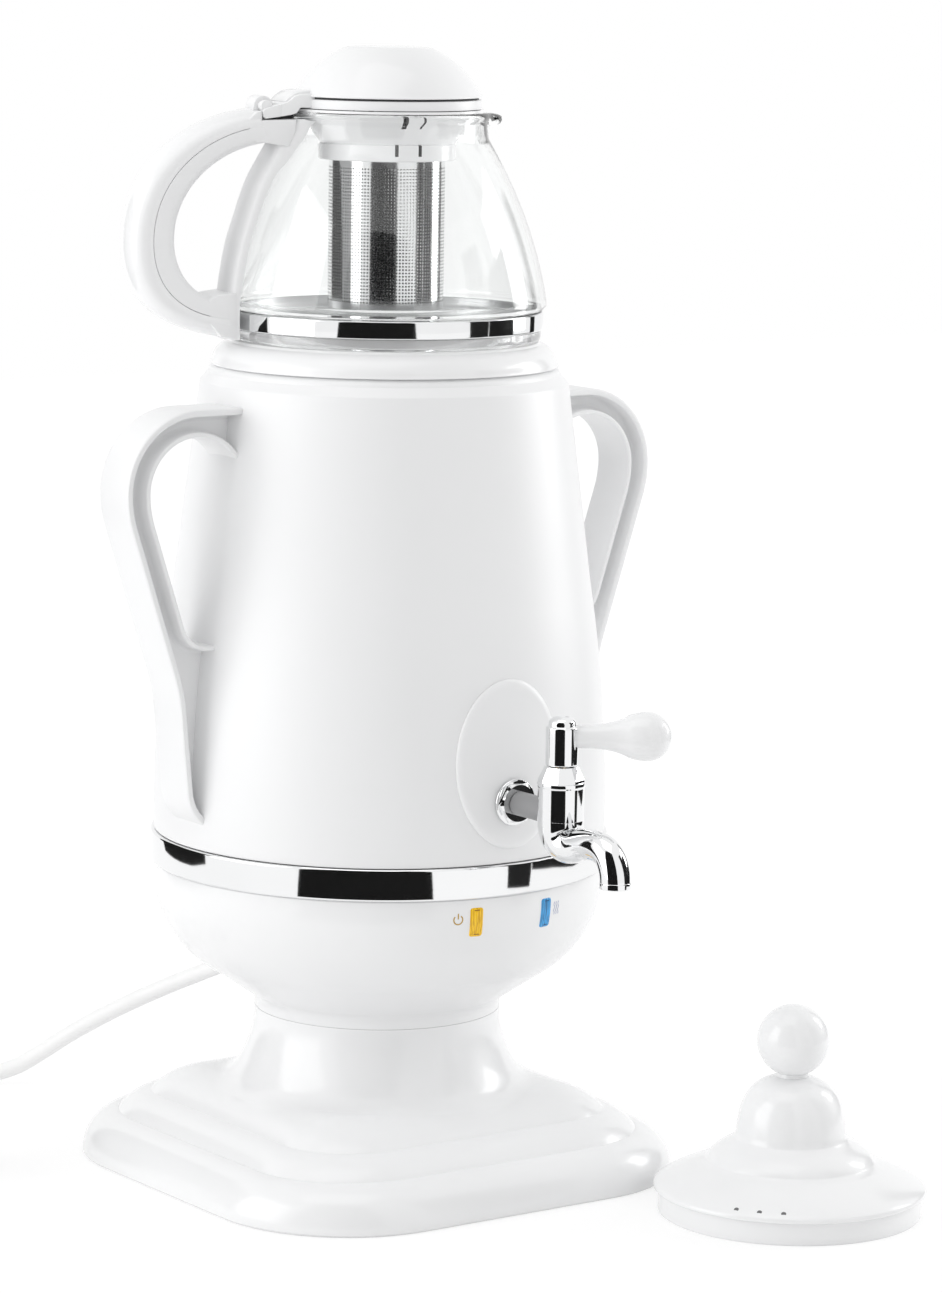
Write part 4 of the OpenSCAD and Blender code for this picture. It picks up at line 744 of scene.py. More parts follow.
class SAMOVAR_OT_cord(bpy.types.Operator):
    """Makes the mains cord with its strain relief, coil and plug"""
    bl_idname = "samovar.cord"
    bl_label = "Cord and plug"

    def execute(self, context):
        d = sizes("samovar_cord").diameter
        route = smooth_path(CORD_ROUTE + coil_points() + TAIL_ROUTE, 4)
        cord = tube("mains_cord", route, d / 2, 20)
        finish(cord, cord_white(), "boiler", "cord_white", "cord", "cord_coil", "cord_tail")
        finish(self.relief(d / 2), cord_white(), "boiler", "cord_white", "cord_gland")
        plug = finish(self.plug(d / 2), cord_white(), "boiler", "cord_white", "mains_plug")
        pins = []
        for x in (-PIN_OFFSET, PIN_OFFSET):
            pin = lathe("pin", soften([(0, 55), (2.4, 55), (2.4, 72.6), (1.5, 74), (0, 74)], 0.4), 32)
            pins.append(move(pin, plug_frame() @ shift(x, 0, 0)))
        pins = join("contact_pins", pins)
        finish(pins, brushed_steel(), "boiler", "steel", "plug_pins")
        return {"FINISHED"}

    def relief(self, r):
        """The strain relief: a collar, a ribbed cone that narrows, and the shank in the wall."""
        line = [(0, 9), (7.2, 9), (7.6, 9.4), (7.6, 11.6), (7.2, 12), (r + 2.8, 12)]
        for i in range(RELIEF_RIBS):
            z = 15 + i * 4.3
            wide = r + 2.6 - 1.6 * (z - 12) / 30
            line += (at(wide, z, (0, 0), (-0.25, 0.2)) + at(r, z, (0.75, 0.45), (0.7, 1.3))
                     + at(wide, z, (-0.35, 1.55), (-0.12, 1.8)))
        line += [(r + 1.05, 41.2), (r + 0.9, 42), (r + 0.1, 42), (r + 0.1, 40), (0, 40)]
        cone = move(lathe("strain_relief", soften(line, 0.25), 64), gland_frame())
        shank = soften([(0, -8), (6.6, -8), (6.6, -6), (5.1, -6), (5.1, 9.2), (0, 9.2)], 0.3)
        return join("strain_relief", [cone, move(lathe("relief_shank", shank, 48), gland_frame())])

    def plug(self, r):
        """The plug's body: a ribbed neck that widens to a round grip with a flat face."""
        line = [(0, 0.2), (r + 0.5, 0.2), (r + 0.9, 0.6)]
        for i in range(PLUG_RIBS):
            line += at(r + 1.0 + i * 0.24, 2.2 + i * 2.9, (0, 0), (-0.7, 0.35), (-0.7, 1.0), (0.1, 1.35))
        line += [(r + 2.2, 17.2), (9, 20)] + bezier([(10.5, 22), (12.6, 28), (14.6, 34), (15.8, 38.5)], 10)
        line += [(17.6, 42), (18.4, 43.6), (18.5, 44.4), (18.5, 53.4), (17.6, 55), (0, 55)]
        return move(lathe("plug_body", soften(line, 0.5), 120), plug_frame())


# ---------------------------------------------------------------- base, bowl and band

MIDDLE_INSET, TOP_INSET = 32.9, 52.6  # from the lowest step's edge to the centre of each upper step's curve
FLARE_SOFTENING = 5.0
NECK_RUN = 5  # how far the neck's own curve reaches out
FLARE_STEPS, NECK_STEPS = 44, 18


def foot_height(b, x, y):
    """Height of the neck's flare where it runs softly into the top step."""
    r = math.hypot(x, y)
    rr = min(r, b.neck_r + 15.3)
    flare = b.neck_z - math.sqrt(b.flare_r ** 2 - (b.neck_r + b.flare_r - rr) ** 2) - 1.6 * (r - rr)
    corner = math.hypot(max(abs(x) - b.core, 0), max(abs(y) - b.core, 0))
    lift = max(corner - (b.half - b.core - TOP_INSET), 0)
    top = 3 + math.sqrt(max(b.step3_r ** 2 - lift * lift, 0))
    h = max(FLARE_SOFTENING - abs(top - flare), 0) / FLARE_SOFTENING
    return max(top, flare) + h * h * FLARE_SOFTENING / 4


def round_ring(ring, r, z):
    """A ring's points drawn to a circle of radius r at height z."""
    return [(x * r / math.hypot(x, y), y * r / math.hypot(x, y), z) for x, y, _ in ring]


class SAMOVAR_OT_base(bpy.types.Operator):
    """Makes the stepped base with its neck and dresses the parts under it"""
    bl_idname = "samovar.base"
    bl_label = "Base and neck"

    def execute(self, context):
        b = sizes("samovar_base")
        corner = b.half - b.core
        section = (at(corner, 0, (-3.2, 5), (-3.2, 0.4), (-2.8, 0), (-1, 0), (0, 1))
                   + arc(corner - b.step1_r, 1.5, b.step1_r, 0, 83, 26)
                   + arc(corner - MIDDLE_INSET, 4.4, b.step2_r, 38.4, 80.1, 16)
                   + arc(corner - TOP_INSET, 3, b.step3_r, 45.2, 52, 4))
        path = round_corner_path(b.core)
        rings = [[(cx + d * nx, cy + d * ny, z) for cx, cy, nx, ny in path]
                 for d, z in soften(section, 0.9, 14, 6)]
        edge = rings[-1]
        for k in range(1, FLARE_STEPS + 1):
            ring = []
            for x, y, _ in edge:
                far = math.hypot(x, y)
                r = far + (b.neck_r + NECK_RUN - far) * k / FLARE_STEPS
                x, y = x * r / far, y * r / far
                ring.append((x, y, foot_height(b, x, y)))
            rings.append(ring)
        start = math.degrees(math.acos(1 - NECK_RUN / b.flare_r))
        for k in range(1, NECK_STEPS + 1):
            a = start * (1 - k / NECK_STEPS)
            rings.append(round_ring(edge, b.neck_r + b.flare_r * (1 - cosd(a)),
                                    b.neck_z - b.flare_r * sind(a)))
        rings.append(round_ring(edge, b.neck_r - 0.3, b.neck_z))
        base = loft("base_moulding", rings, start=False)
        finish(base, gloss_white(), "boiler", "gloss_white", "base_shell")
        dress(satin_white(), "bottom_cover")
        dress(rubber_and_painted_shade(), "base_feet")
        dress(brushed_steel(), "base_screws", "bowl_screws")
        return {"FINISHED"}


BOWL_CURVE, BOWL_CURVE_DROP = 44.2, 5.3  # radius of the bowl's wall and its centre's depth under the rim
BOWL_SLOPE, BOWL_FILLET = 56, 6
MARK_R = 94.0  # radius at which sideways places on the bowl are measured
LENS_Z, LENS_HALF_W, LENS_HALF_H, LENS_CORNER = 120.4, 2.85, 6.0, 1.1
LENS_ROWS, LENS_COLUMNS, LENS_DEPTH, RIB_PITCH = 48, 26, 1.6, 1.15
LENS_END = 5.0  # height of the painted dark spots, painted shade, over and under a lens's middle


def bowl_radius(b, z):
    """Outer radius of the bowl near its rim."""
    return b.bowl_r - BOWL_CURVE + math.sqrt(BOWL_CURVE ** 2 - (z - b.bowl_z + BOWL_CURVE_DROP) ** 2)


def bowl_outline(b):
    """The bowl's wall: over the rim, down the outside to the neck and up again inside."""
    r, cx, cz = BOWL_CURVE, b.bowl_r - BOWL_CURVE, b.bowl_z - BOWL_CURVE_DROP
    line_r, line_z = b.bowl_r - r * (1 - cosd(BOWL_SLOPE)), cz - r * sind(BOWL_SLOPE)
    start_r = b.neck_r + BOWL_FILLET * (1 - cosd(BOWL_SLOPE))
    start_z = line_z - (line_r - start_r) / math.tan(math.radians(BOWL_SLOPE))
    return (at(b.bowl_r, b.bowl_z, (-2.5, -6), (-2.5, 0), (-0.4, 0), (0, -0.4))
            + arc(cx, cz, r, 0, -BOWL_SLOPE, 40)
            + arc(b.neck_r + BOWL_FILLET, start_z - BOWL_FILLET * sind(BOWL_SLOPE), BOWL_FILLET,
                  180 - BOWL_SLOPE, 180, 12)
            + [(b.neck_r, b.neck_z + 0.3), (b.neck_r - 0.3, b.neck_z), (30, b.neck_z), (30, b.neck_z + 2.6),
               (b.neck_r - 3.5, b.neck_z + 2.6)]
            + [(x - 2.5, z + 1.0) for x, z in reversed(arc(cx, cz, r, 0, -BOWL_SLOPE, 16))])


def mark_on_bowl(b, name, ribbons, material, slot):
    """A thin printed mark: ribbons of (degrees of turn, height) laid on the bowl."""
    verts, faces = [], []
    for points in ribbons:
        start = len(verts)
        for a, z in points:
            r = bowl_radius(b, z) + 0.04
            verts.append((r * sind(a), -r * cosd(a), z))
        for k in range(start, len(verts) - 2, 2):
            faces.append((k, k + 1, k + 3, k + 2))
    return finish(mesh_object(name, verts, faces), material, "boiler", slot)


def ribbon(points, half):
    """Pairs of points to both sides of a line, for mark_on_bowl."""
    out = []
    k = math.degrees(1 / MARK_R)
    for i, (x, z) in enumerate(points):
        a, c = points[max(i - 1, 0)], points[min(i + 1, len(points) - 1)]
        d = Vector((c[0] - a[0], c[1] - a[1])).normalized() * half
        out += [((x - d.y) * k, z + d.x), ((x + d.y) * k, z - d.x)]
    return out


def ribbed_lens(name, b, angle):
    """A lens in the bowl's wall: crowned, with fine upright ribs, and a rim round its face."""
    verts, faces = [], []
    for j in range(LENS_ROWS + 1):
        v = 2 * j / LENS_ROWS - 1
        z = LENS_HALF_H * v
        over = max(abs(z) - (LENS_HALF_H - LENS_CORNER), 0) / LENS_CORNER
        w = LENS_HALF_W - LENS_CORNER * (1 - math.sqrt(max(1 - over * over, 0)))
        for i in range(LENS_COLUMNS + 1):
            u = 2 * i / LENS_COLUMNS - 1
            x = w * u
            crown = 0.42 * (1 - u ** 6) * (1 - v ** 14)
            rib = 0.11 * math.cos(2 * math.pi * x / RIB_PITCH) * (1 - u ** 8) * (1 - v ** 10)
            r = bowl_radius(b, LENS_Z + z) + 0.08 + crown + rib
            verts.append((x, -math.sqrt(r * r - x * x), LENS_Z + z))
    rows, columns = LENS_ROWS, LENS_COLUMNS
    n = columns + 1
    for j in range(rows):
        faces += [(j * n + i, j * n + i + 1, (j + 1) * n + i + 1, (j + 1) * n + i) for i in range(columns)]
    loop = (list(range(n)) + [j * n + columns for j in range(1, rows + 1)]
            + [rows * n + i for i in range(columns - 1, -1, -1)] + [j * n for j in range(rows - 1, 0, -1)])
    start = len(verts)
    verts += [(verts[k][0], verts[k][1] + LENS_DEPTH, verts[k][2]) for k in loop]
    for i in range(len(loop)):
        k = (i + 1) % len(loop)
        faces.append((loop[i], start + i, start + k, loop[k]))
    faces.append(tuple(range(start, len(verts))))
    return move(mesh_object(name, verts, faces, 50), turn(angle))


class SAMOVAR_OT_bowl(bpy.types.Operator):
    """Makes the bowl, the chrome band, the two lenses and the printed marks beside them"""
    bl_idname = "samovar.bowl"
    bl_label = "Bowl, band and lenses"

    def execute(self, context):
        b = sizes("samovar_base")
        bowl = lathe("bowl", soften(bowl_outline(b), 0.4, 25), 220)
        finish(bowl, gloss_white(), "boiler", "gloss_white", "bowl_shell")
        z0, z1 = b.bowl_z + 0.2, b.bowl_z + b.band_h
        line = ([(b.bowl_r - 0.8, z0)] + at(b.band_r, z0, (-0.5, 0), (0, 0.6))
                + at(b.band_r, (z0 + z1) / 2, (0.02, 0)) + at(b.band_r, z1, (0, -0.6), (-0.5, 0))
                + [(b.bowl_r - 0.8, z1)])
        finish(lathe("chrome_ring", soften(line, 0.35, 20), 240), chrome(), "boiler", "chrome", "chrome_band")
        dress(pale_ceramic(), "lamp_holders")
        self.lenses(b)
        self.marks(b)
        return {"FINISHED"}

    def lenses(self, b):
        """Two lenses; each has a dark spot of painted shade near its upper and its lower end."""
        f = sizes("samovar_finish")
        for node, angle, c in (("amber_lens", 9.5, f.amber), ("blue_lens", -12, f.blue)):
            label = node.replace("_", " ").title()
            lens = ribbed_lens("ribbed_" + node, b, -angle)
            finish(lens, lens_plastic(label, c, 0.06), "boiler", node, node)
            # A darker tone of the lens colour is painted at both ends: painted shade.
            deep = tuple(v * k for v, k in zip(c, (0.42, 0.3, 0.34)))
            paint_faces(lens, ink_and_painted_shade(label + " End", deep),
                        lambda x, y, z: (abs(abs(z - LENS_Z) - LENS_END) < 0.3
                                         and abs(x * cosd(angle) - y * sind(angle)) < 1.2))

    def marks(self, b):
        """A broken ring with a bar beside the amber lens and three waves beside the blue one."""
        per_degree = math.radians(MARK_R)
        x, z = -14.4 * per_degree, 121.9
        ring = ribbon([(x + 1.9 * sind(a), z + 1.9 * cosd(a)) for a in range(38, 323, 12)], 0.27)
        bar = ribbon(at(x, z, (0, 0.3), (0, 1.4), (0, 2.6)), 0.27)
        mark_on_bowl(b, "power_mark", [ring, bar], ink_and_painted_shade("Amber Ink", (0.52, 0.33, 0.08)), "amber_lens")
        waves = []
        for k in range(3):
            x = (15.2 + 0.78 * k) * per_degree
            wave = [(x + 0.3 * sind(2.2 * 360 * i / 28), 118.9 + 5.3 * i / 28) for i in range(29)]
            waves.append(ribbon(wave, 0.17))
        mark_on_bowl(b, "steam_mark", waves, ink_and_painted_shade("Blue Ink", (0.34, 0.37, 0.55)), "blue_lens")


# ---------------------------------------------------------------- body, collar and side handles

BODY_Z = 143.4
CURVE_RISE, CONE_Z = 8, 246  # the body curves inward from this far above its edge up to its cone


def body_curve(s, body_z):
    """Lower end and radius of the body's upright curve, and the body's radius at its upper end."""
    curve_z = body_z + CURVE_RISE
    r = (CONE_Z - curve_z) / sind(s.taper)
    return curve_z, r, s.bottom_r - r * (1 - cosd(s.taper))


def body_outline(s, body_z):
    """Outer line of the body from above its lower edge to its top."""
    curve_z, r, cone_r = body_curve(s, body_z)
    seam = s.collar_r + 0.5
    return ([(s.bottom_r, body_z + 4)]
            + arc(s.bottom_r - r, curve_z, r, 0, s.taper, 30)
            + [(cone_r + (s.top_r - cone_r) * k / 6, CONE_Z + (s.top_z - 7 - CONE_Z) * k / 6)
               for k in range(1, 7)]
            + arc(seam - 3.4, s.top_z - 4, 4, 10, 80, 12) + [(seam, s.top_z)])


def body_radius(s, z):
    curve_z, r, cone_r = body_curve(s, BODY_Z)
    if z < curve_z:
        return s.bottom_r
    if z < CONE_Z:
        return s.bottom_r - r + math.sqrt(r * r - (z - curve_z) ** 2)
    return cone_r + (s.top_r - cone_r) * (z - CONE_Z) / (s.top_z - 7 - CONE_Z)


class SAMOVAR_OT_body(bpy.types.Operator):
    """Makes the body shell and its collar and dresses the tank and the parts inside"""
    bl_idname = "samovar.body"
    bl_label = "Body and collar"

    def execute(self, context):
        s = sizes("samovar_body")
        b = sizes("samovar_base")
        body_z = b.bowl_z + 0.2 + b.band_h
        line = at(s.bottom_r, body_z, (-3, 0), (-0.4, 0), (0, 0.4)) + body_outline(s, body_z)
        line += [(67.5, s.top_z), (67.5, s.top_z - 3), (s.top_r - 3, s.top_z - 4.5),
                 (s.bottom_r - 12, CONE_Z)]
        shell = lathe("body", soften(line, 0.4, 25), 240)
        finish(shell, satin_white(), "boiler", "body_white", "body_shell")
        top = s.top_z + s.collar_h
        line = (at(s.collar_r, s.top_z, (0.2, 0), (0.4, 0.3)) + arc(61.9, top - 10.3, 9.7, 8, 76, 18)
                + [(63.4, top)] + at(s.recess_r, top, (0.5, 0), (0, -0.5), (0, -6)) + [(s.mouth_r, top - 6)]
                + at(s.mouth_r, s.top_z, (0, -3), (2, -3), (2, 2)) + [(69, s.top_z + 2), (69, s.top_z)])
        collar = lathe("collar", soften(line, 0.4, 25), 220)
        finish(collar, gloss_white(), "boiler", "gloss_white", "top_collar")
        dress(brushed_steel(), "water_tank", "clamp_bar", "clamp_studs", "handle_screws",
              "heating_element", "tap_back_nut", "tap_stem")
        dress(cast_aluminium(), "heat_plate")
        dress(pale_ceramic(), "terminal_block")
        dress(brown_resin(), "thermostats")
        dress(rubber_and_painted_shade("Grey Silicone", (0.45, 0.45, 0.44)), "collar_gasket", "tap_washers")
        return {"FINISHED"}


HANDLE_SLOPE, FOOT_SLOPE = 18.4, 5.7
BEND_R, EASE_R, FOOT_R, TIP_R = 33, 44, 70, 20  # radii along a side handle's outer line, from its top
FOOT_TOP_Z, TIP_Z = 216, 168
HANDLE_CUT_X = 74  # inward of this a side handle is cut away
GAP_BEND_R, GAP_EASE_R, GAP_END_R, GAP_END_Z = 22, 38.7, 12, 239.3  # the same for the finger gap


def handle_lines(s):
    """Outer line and finger-gap line of a side handle, each as a function of the way inward or outward."""
    bend_z, bend_x = s.handle_top - BEND_R, s.handle_reach - BEND_R
    ease_x = s.handle_reach - EASE_R
    cos, sin, tan = cosd(HANDLE_SLOPE), sind(HANDLE_SLOPE), math.tan(math.radians(HANDLE_SLOPE))
    run_x, run_z = ease_x + EASE_R * cos, bend_z - EASE_R * sin
    end_x = run_x - (run_z - FOOT_TOP_Z) * tan
    foot_x, foot_z = end_x + FOOT_R * cos, FOOT_TOP_Z - FOOT_R * sin
    low_x, low_z = foot_x - FOOT_R * cosd(FOOT_SLOPE), foot_z + FOOT_R * sind(FOOT_SLOPE)
    tip_x = low_x - (low_z - TIP_Z) * math.tan(math.radians(FOOT_SLOPE))

    def outer(d):
        return ([(60, s.handle_top - d), (80, s.handle_top - d)]
                + arc(bend_x, bend_z, BEND_R - d, 90, 0, 32)
                + arc(ease_x, bend_z, EASE_R - d, 0, -HANDLE_SLOPE, 10)
                + arc(foot_x, foot_z, FOOT_R + d, 180 - HANDLE_SLOPE, 180 - FOOT_SLOPE, 10)
                + arc(tip_x - TIP_R * cosd(FOOT_SLOPE), TIP_Z + TIP_R * sind(FOOT_SLOPE), TIP_R - d,
                      -FOOT_SLOPE, -60, 14))

    gap_x = bend_x + GAP_BEND_R - GAP_EASE_R
    low_end_x = (gap_x + GAP_EASE_R * cos
                 - (bend_z - GAP_EASE_R * sin - (GAP_END_Z - GAP_END_R * sin)) * tan - GAP_END_R * cos)

    def gap(d):
        return (arc(bend_x, bend_z, GAP_BEND_R + d, 168, 0, 38)
                + arc(gap_x, bend_z, GAP_EASE_R + d, 0, -HANDLE_SLOPE, 8)
                + arc(low_end_x, GAP_END_Z, GAP_END_R + d, -HANDLE_SLOPE, -90, 16)
                + [(82, GAP_END_Z - GAP_END_R - d)])

    return outer, gap


def flange(name, line, depths):
    """A flange that follows a line: depths lists (offset from the line, half width)."""
    stations = [(line(d), w) for d, w in depths]
    rings = []
    for i in range(len(stations[0][0])):
        row = [(points[i][0], w, points[i][1]) for points, w in stations]
        rings.append(row + [(x, -w, z) for x, w, z in reversed(row)])
    return loft(name, rings, 30)


class SAMOVAR_OT_handles(bpy.types.Operator):
    """Makes the two side handles, each a web between an outer and an inner flange"""
    bl_idname = "samovar.handles"
    bl_label = "Side handles"

    def execute(self, context):
        s = sizes("samovar_body")
        outer, gap = handle_lines(s)
        w, t = s.flange_w / 2, s.web_t / 2
        rim = (at(0, w, (0, -1.2), (0.12, -0.6), (0.5, -0.15), (1, 0), (2.1, -0.05), (2.6, -0.35),
                  (2.85, -0.9))
               + at(0, t, (3.0, 2.6), (3.25, 1.5), (3.8, 0.6), (4.8, 0.05), (5.6, 0)))
        lip = (at(0, w, (0, -1.0), (0.1, -0.45), (0.4, -0.1), (0.8, 0), (1.4, -0.05), (1.8, -0.35),
                  (2.0, -0.8))
               + at(0, t, (2.15, 2.2), (2.4, 1.2), (2.9, 0.45), (3.8, 0)))
        web_line = outer(2.0) + [(82, 156), (82, 226.3)] + list(reversed(gap(1.0))) + [(72, 300), (70, 322)]
        for side, name in ((1, "right_handle"), (-1, "left_handle")):
            made = join(name + "_moulding", [flange("rind", outer, rim), flange("inner", gap, lip),
                                             plate("web", web_line, t, 0)])
            trim_to_body(made)
            if side < 0:
                move(made, Matrix.Scale(-1, 4, (1, 0, 0)))
                made.data.flip_normals()
            finish(made, satin_white(), "boiler", "body_white", name)
        return {"FINISHED"}


def trim_to_body(obj):
    """Cuts away what lies deep inside the body and closes the cut."""
    bm = bmesh.new()
    bm.from_mesh(obj.data)
    geom = bm.verts[:] + bm.edges[:] + bm.faces[:]
    cut = bmesh.ops.bisect_plane(bm, geom=geom, plane_co=(HANDLE_CUT_X * MM, 0, 0), plane_no=(1, 0, 0),
                                 clear_inner=True)
    edges = [e for e in cut["geom_cut"] if isinstance(e, bmesh.types.BMEdge)]
    bmesh.ops.holes_fill(bm, edges=edges, sides=0)
    bm.to_mesh(obj.data)
    bm.free()


# ---------------------------------------------------------------- tap

BARREL_RISE = 13.4  # of the barrel's top over the stem
SPOUT_REACH = 36.4
ROUND_STEPS, PLATE_STEPS = 96, 120

def plate_point(t, s, u, a, rise):
    x = t.plate_w * u * cosd(a)
    z = t.z + 15 + t.plate_h * u * sind(a)
    r = body_radius(s, z) + rise
    return (x, -math.sqrt(r * r - x * x), z)


def stem_frame(y, z):
    return shift(0, -y, z) @ turn(90, "X")


def hex_piece(name, af, t, bore, chamfer):
    """A hexagonal nut, af over its flats and t thick, with turned corners, standing on Z."""
    corner = af / math.sqrt(3)
    rings = []
    for z, lim in ((0, corner - 0.35), (0.3, corner + 1), (t - chamfer, corner + 1), (t, af / 2 - 0.2)):
        ring = []
        for k in range(ROUND_STEPS):
            a = 360 * k / ROUND_STEPS
            r = min(af / 2 / cosd((a + 30) % 60 - 30), lim)
            ring.append((r * cosd(a + 30), r * sind(a + 30), z))
        rings.append(ring)
    rings += [[(bore * cosd(360 * k / ROUND_STEPS + 30), bore * sind(360 * k / ROUND_STEPS + 30), z)
               for k in range(ROUND_STEPS)] for z in (t, 0)]
    return loft(name, rings, 20, loop=True)


def eight_sided(name, sections):
    """A piece with eight faces: sections lists (height, radius, how flat the faces are)."""
    rings = []
    for z, r, fold in sections:
        ring = []
        for k in range(ROUND_STEPS):
            a = 360 * k / ROUND_STEPS
            flat = 1 + (cosd(22.5) / cosd(a % 45 - 22.5) - 1) * fold
            ring.append((r * flat * cosd(a), r * flat * sind(a), z))
        rings.append(ring)
    return loft(name, rings, 16)


class SAMOVAR_OT_tap(bpy.types.Operator):
    """Makes the plate, the chrome tap and its lever"""
    bl_idname = "samovar.tap"
    bl_label = "Tap and lever"

    def execute(self, context):
        t = sizes("samovar_tap")
        s = sizes("samovar_body")
        self.badge(t, s)
        start = body_radius(s, t.z) + 2.1
        line = soften([(4, 0), (9.4, 0), (9.6, 0.3), (9.4, 0.9), (8.3, 1.25), (4, 1.25)], 0.2)
        hexagon = hex_piece("hexagon", 15.4, 2.1, 4.0, 0.8)
        nut = join("stem_nut", [lathe("nut_rim", line, 72), move(hexagon, shift(0, 0, 1.1))])
        finish(move(nut, stem_frame(start, t.z)), chrome(), "boiler", "chrome", "tap_hex_nut")
        a, z = start + 3.3, t.reach - t.barrel_r + 0.6
        sleeve = lathe("sleeve", soften([(4, 0), (4.9, 0), (4.9, z - a), (4, z - a)], 0.35), 64)
        finish(move(sleeve, stem_frame(a, t.z)), grey_sleeve(), "boiler", "grey_plastic", "tap_spacer")
        top = t.z + BARREL_RISE
        finish(self.barrel(t, top), chrome(), "boiler", "chrome", "tap_barrel")
        bonnet = eight_sided("bonnet", ((0, 9.3, 1), (1.0, 9.2, 1), (1.4, 9.0, 1), (6.0, 6.8, 1),
                                        (6.2, 6.5, 0.3)))
        finish(move(bonnet, shift(0, -t.reach, top)), chrome(), "boiler", "chrome", "tap_bonnet")
        dress(turned_brass(), "valve_plug")
        self.key(t, top + 6.5)
        return {"FINISHED"}

    def badge(self, t, s):
        """The plate behind the tap: profile lists (share of its size, rise over the body)."""
        profile = [(1, 0.05), (1, 0.6), (0.993, 0.95), (0.978, 1.28), (0.955, 1.52), (0.925, 1.64),
                   (0.895, 1.66), (0.87, 1.6), (0.75, 1.62), (0.55, 1.72), (0.35, 1.84), (0.15, 1.92)]
        rings = [[plate_point(t, s, u, 360 * k / PLATE_STEPS, rise) for k in range(PLATE_STEPS)]
                 for u, rise in profile]
        finish(loft("tap_plate", rings, 40, start=False), satin_white(), "boiler", "body_white", "escutcheon")

    def barrel(self, t, top):
        """The barrel with its spout, which swings out and down to a tip with a collar."""
        r, y = t.barrel_r, -t.reach
        line = ([(0, t.z - 2), (r, t.z - 2)] + at(r, top, (0, -2.2), (0.25, -1.6), (0.25, -0.2), (-0.3, 0))
                + [(0, top)])
        barrel = move(lathe("barrel", soften(line, 0.25), 96), shift(0, y, 0))
        swing_z, tip_z = t.z - 9.2, t.z - 22
        path = bezier([(0, y, t.z - 1.6), (0, y, t.z - 10), (0, y - 3.5, swing_z - 4.5),
                       (0, y - 13, swing_z - 1.2)], 20)
        path += bezier([(0, y - 13, swing_z - 1.2), (0, y - 24, swing_z + 2.4),
                        (0, y - SPOUT_REACH, swing_z + 1.5), (0, y - SPOUT_REACH, tip_z - 0.7)], 26)[1:]

        def girth(u):
            ease = min(u / 0.5, 1.0)
            return r + (t.spout_r - r) * ease * ease * (3 - 2 * ease)

        spout = tube("spout", path, girth, 48, caps=False)
        line = ([(t.bore_r, 0)] + at(t.spout_r, 0, (0.15, 0), (0.15, 2.4), (-0.1, 2.7), (-0.5, 2.7))
                + [(t.bore_r, 9)])
        collar = move(lathe("tip", soften(line, 0.4), 64), shift(0, y - SPOUT_REACH, tip_z - 1.5))
        return join("tap_body", [barrel, spout, collar])

    def key(self, t, z0):
        """What turns: the cap over the valve and the lever, which ends in a round knob."""
        z1 = z0 + 15.8
        line = ([(0, z0)] + at(t.cap_r, z0, (-0.4, 0), (0, 0.5))
                + at(t.cap_r, z1, (0, -0.8), (-0.3, -0.3), (-0.9, 0), (-1.05, 0.7)))
        line += [((t.cap_r - 1) * cosd(k), z1 + 0.9 + 3.1 * sind(k)) for k in range(6, 91, 6)]
        cap = move(lathe("lever_hub", soften(line, 0.2), 96), shift(0, -t.reach, 0))
        finish(cap, chrome(), "tap_key", "chrome", "lever_cap")
        c = t.lever_len - t.knob_r
        line = [(0, 4.3), (4.4, 4.3), (4.55, 4.5)]
        line += bezier([(4.6, 11), (5.2, 19), (6.2, 22.6), (8.4, c - 7.4)], 12)
        line += bezier([(8.4, c - 7.4), (9.1, c - 5.6), (t.knob_r, c - 3), (t.knob_r, c)], 8)[1:]
        line += [(t.knob_r * sind(k), c - t.knob_r * cosd(k)) for k in range(96, 178, 6)]
        lever = lathe("lever", line + [(0, t.lever_len)], 96, sharp=60)
        lever = move(lever, shift(0, -t.reach, z0 + 11.4) @ turn(60 - 90) @ turn(90, "Y"))
        finish(lever, gloss_white(), "tap_key", "gloss_white", "tap_lever")


# ---------------------------------------------------------------- teapot

POT_Z = 347.3
GLASS_Z = POT_Z + 6
RIM_Z = GLASS_Z + 87
BELLY_Z = POT_Z + 13.7
GLASS_FOOT_R = 63.9
LIP_WIDTH = 14.0  # degrees from the lip's middle at which its reach has gone down to a third
HINGE_X = -55.2
STRAP_STEPS = 40
STRAP_DEPTH = ((0, 4.9), (17, 4.3), (46, 6.0), (67, 7.4), (90, 7.2))  # by height over the teapot's foot
STRAP_STAND_OFF = ((19, 0.0), (46, 1.6), (66, 2.2), (76, -0.6), (86, -1.8), (92, -1.8))
HOLE_SHARE = 0.5  # of the strainer's hole in its pitch
CONE_R, RING_R = 32, 28.2  # the strainer holder's cone at its foot and the ring under it
# Each slot's two angles, the first and last point of the holder's line that it takes in, and its depth
LATCH_SLOTS = ((-7.9, -4.5, 2, 8, 3.6), (5.6, 7.1, 2, 8, 1.6), (-11.5, -8.6, 12, 14, 3.4),
               (8.6, 11.5, 12, 14, 3.4))


def pot_frame():
    return turn(sizes("samovar_teapot").turn)


def glass_radius(p, z):
    cz = BELLY_Z - 26.6
    cx = p.belly_r - math.sqrt(p.curve_r ** 2 - (BELLY_Z + 3 - cz) ** 2)
    return cx + math.sqrt(p.curve_r ** 2 - (z - cz) ** 2)


def glass_outline(p, wall, n=40):
    """One side of the glass, wall thick inside, from the middle of its floor up to the neck."""
    foot = GLASS_FOOT_R - wall
    line = [(0, GLASS_Z + wall), (GLASS_FOOT_R - 12, GLASS_Z + wall)]
    line += arc(GLASS_FOOT_R - 5, GLASS_Z + 5, 5 - wall, -90, 0, 10)
    line += at(foot, BELLY_Z, (0, -1.6), (0.35, -1.1), (1.6, -0.2))
    low, top = BELLY_Z + 1.2, RIM_Z - 11
    heights = [low + (top - low) * i / n for i in range(n + 1)]
    return line + [(glass_radius(p, z) - wall, z) for z in heights]


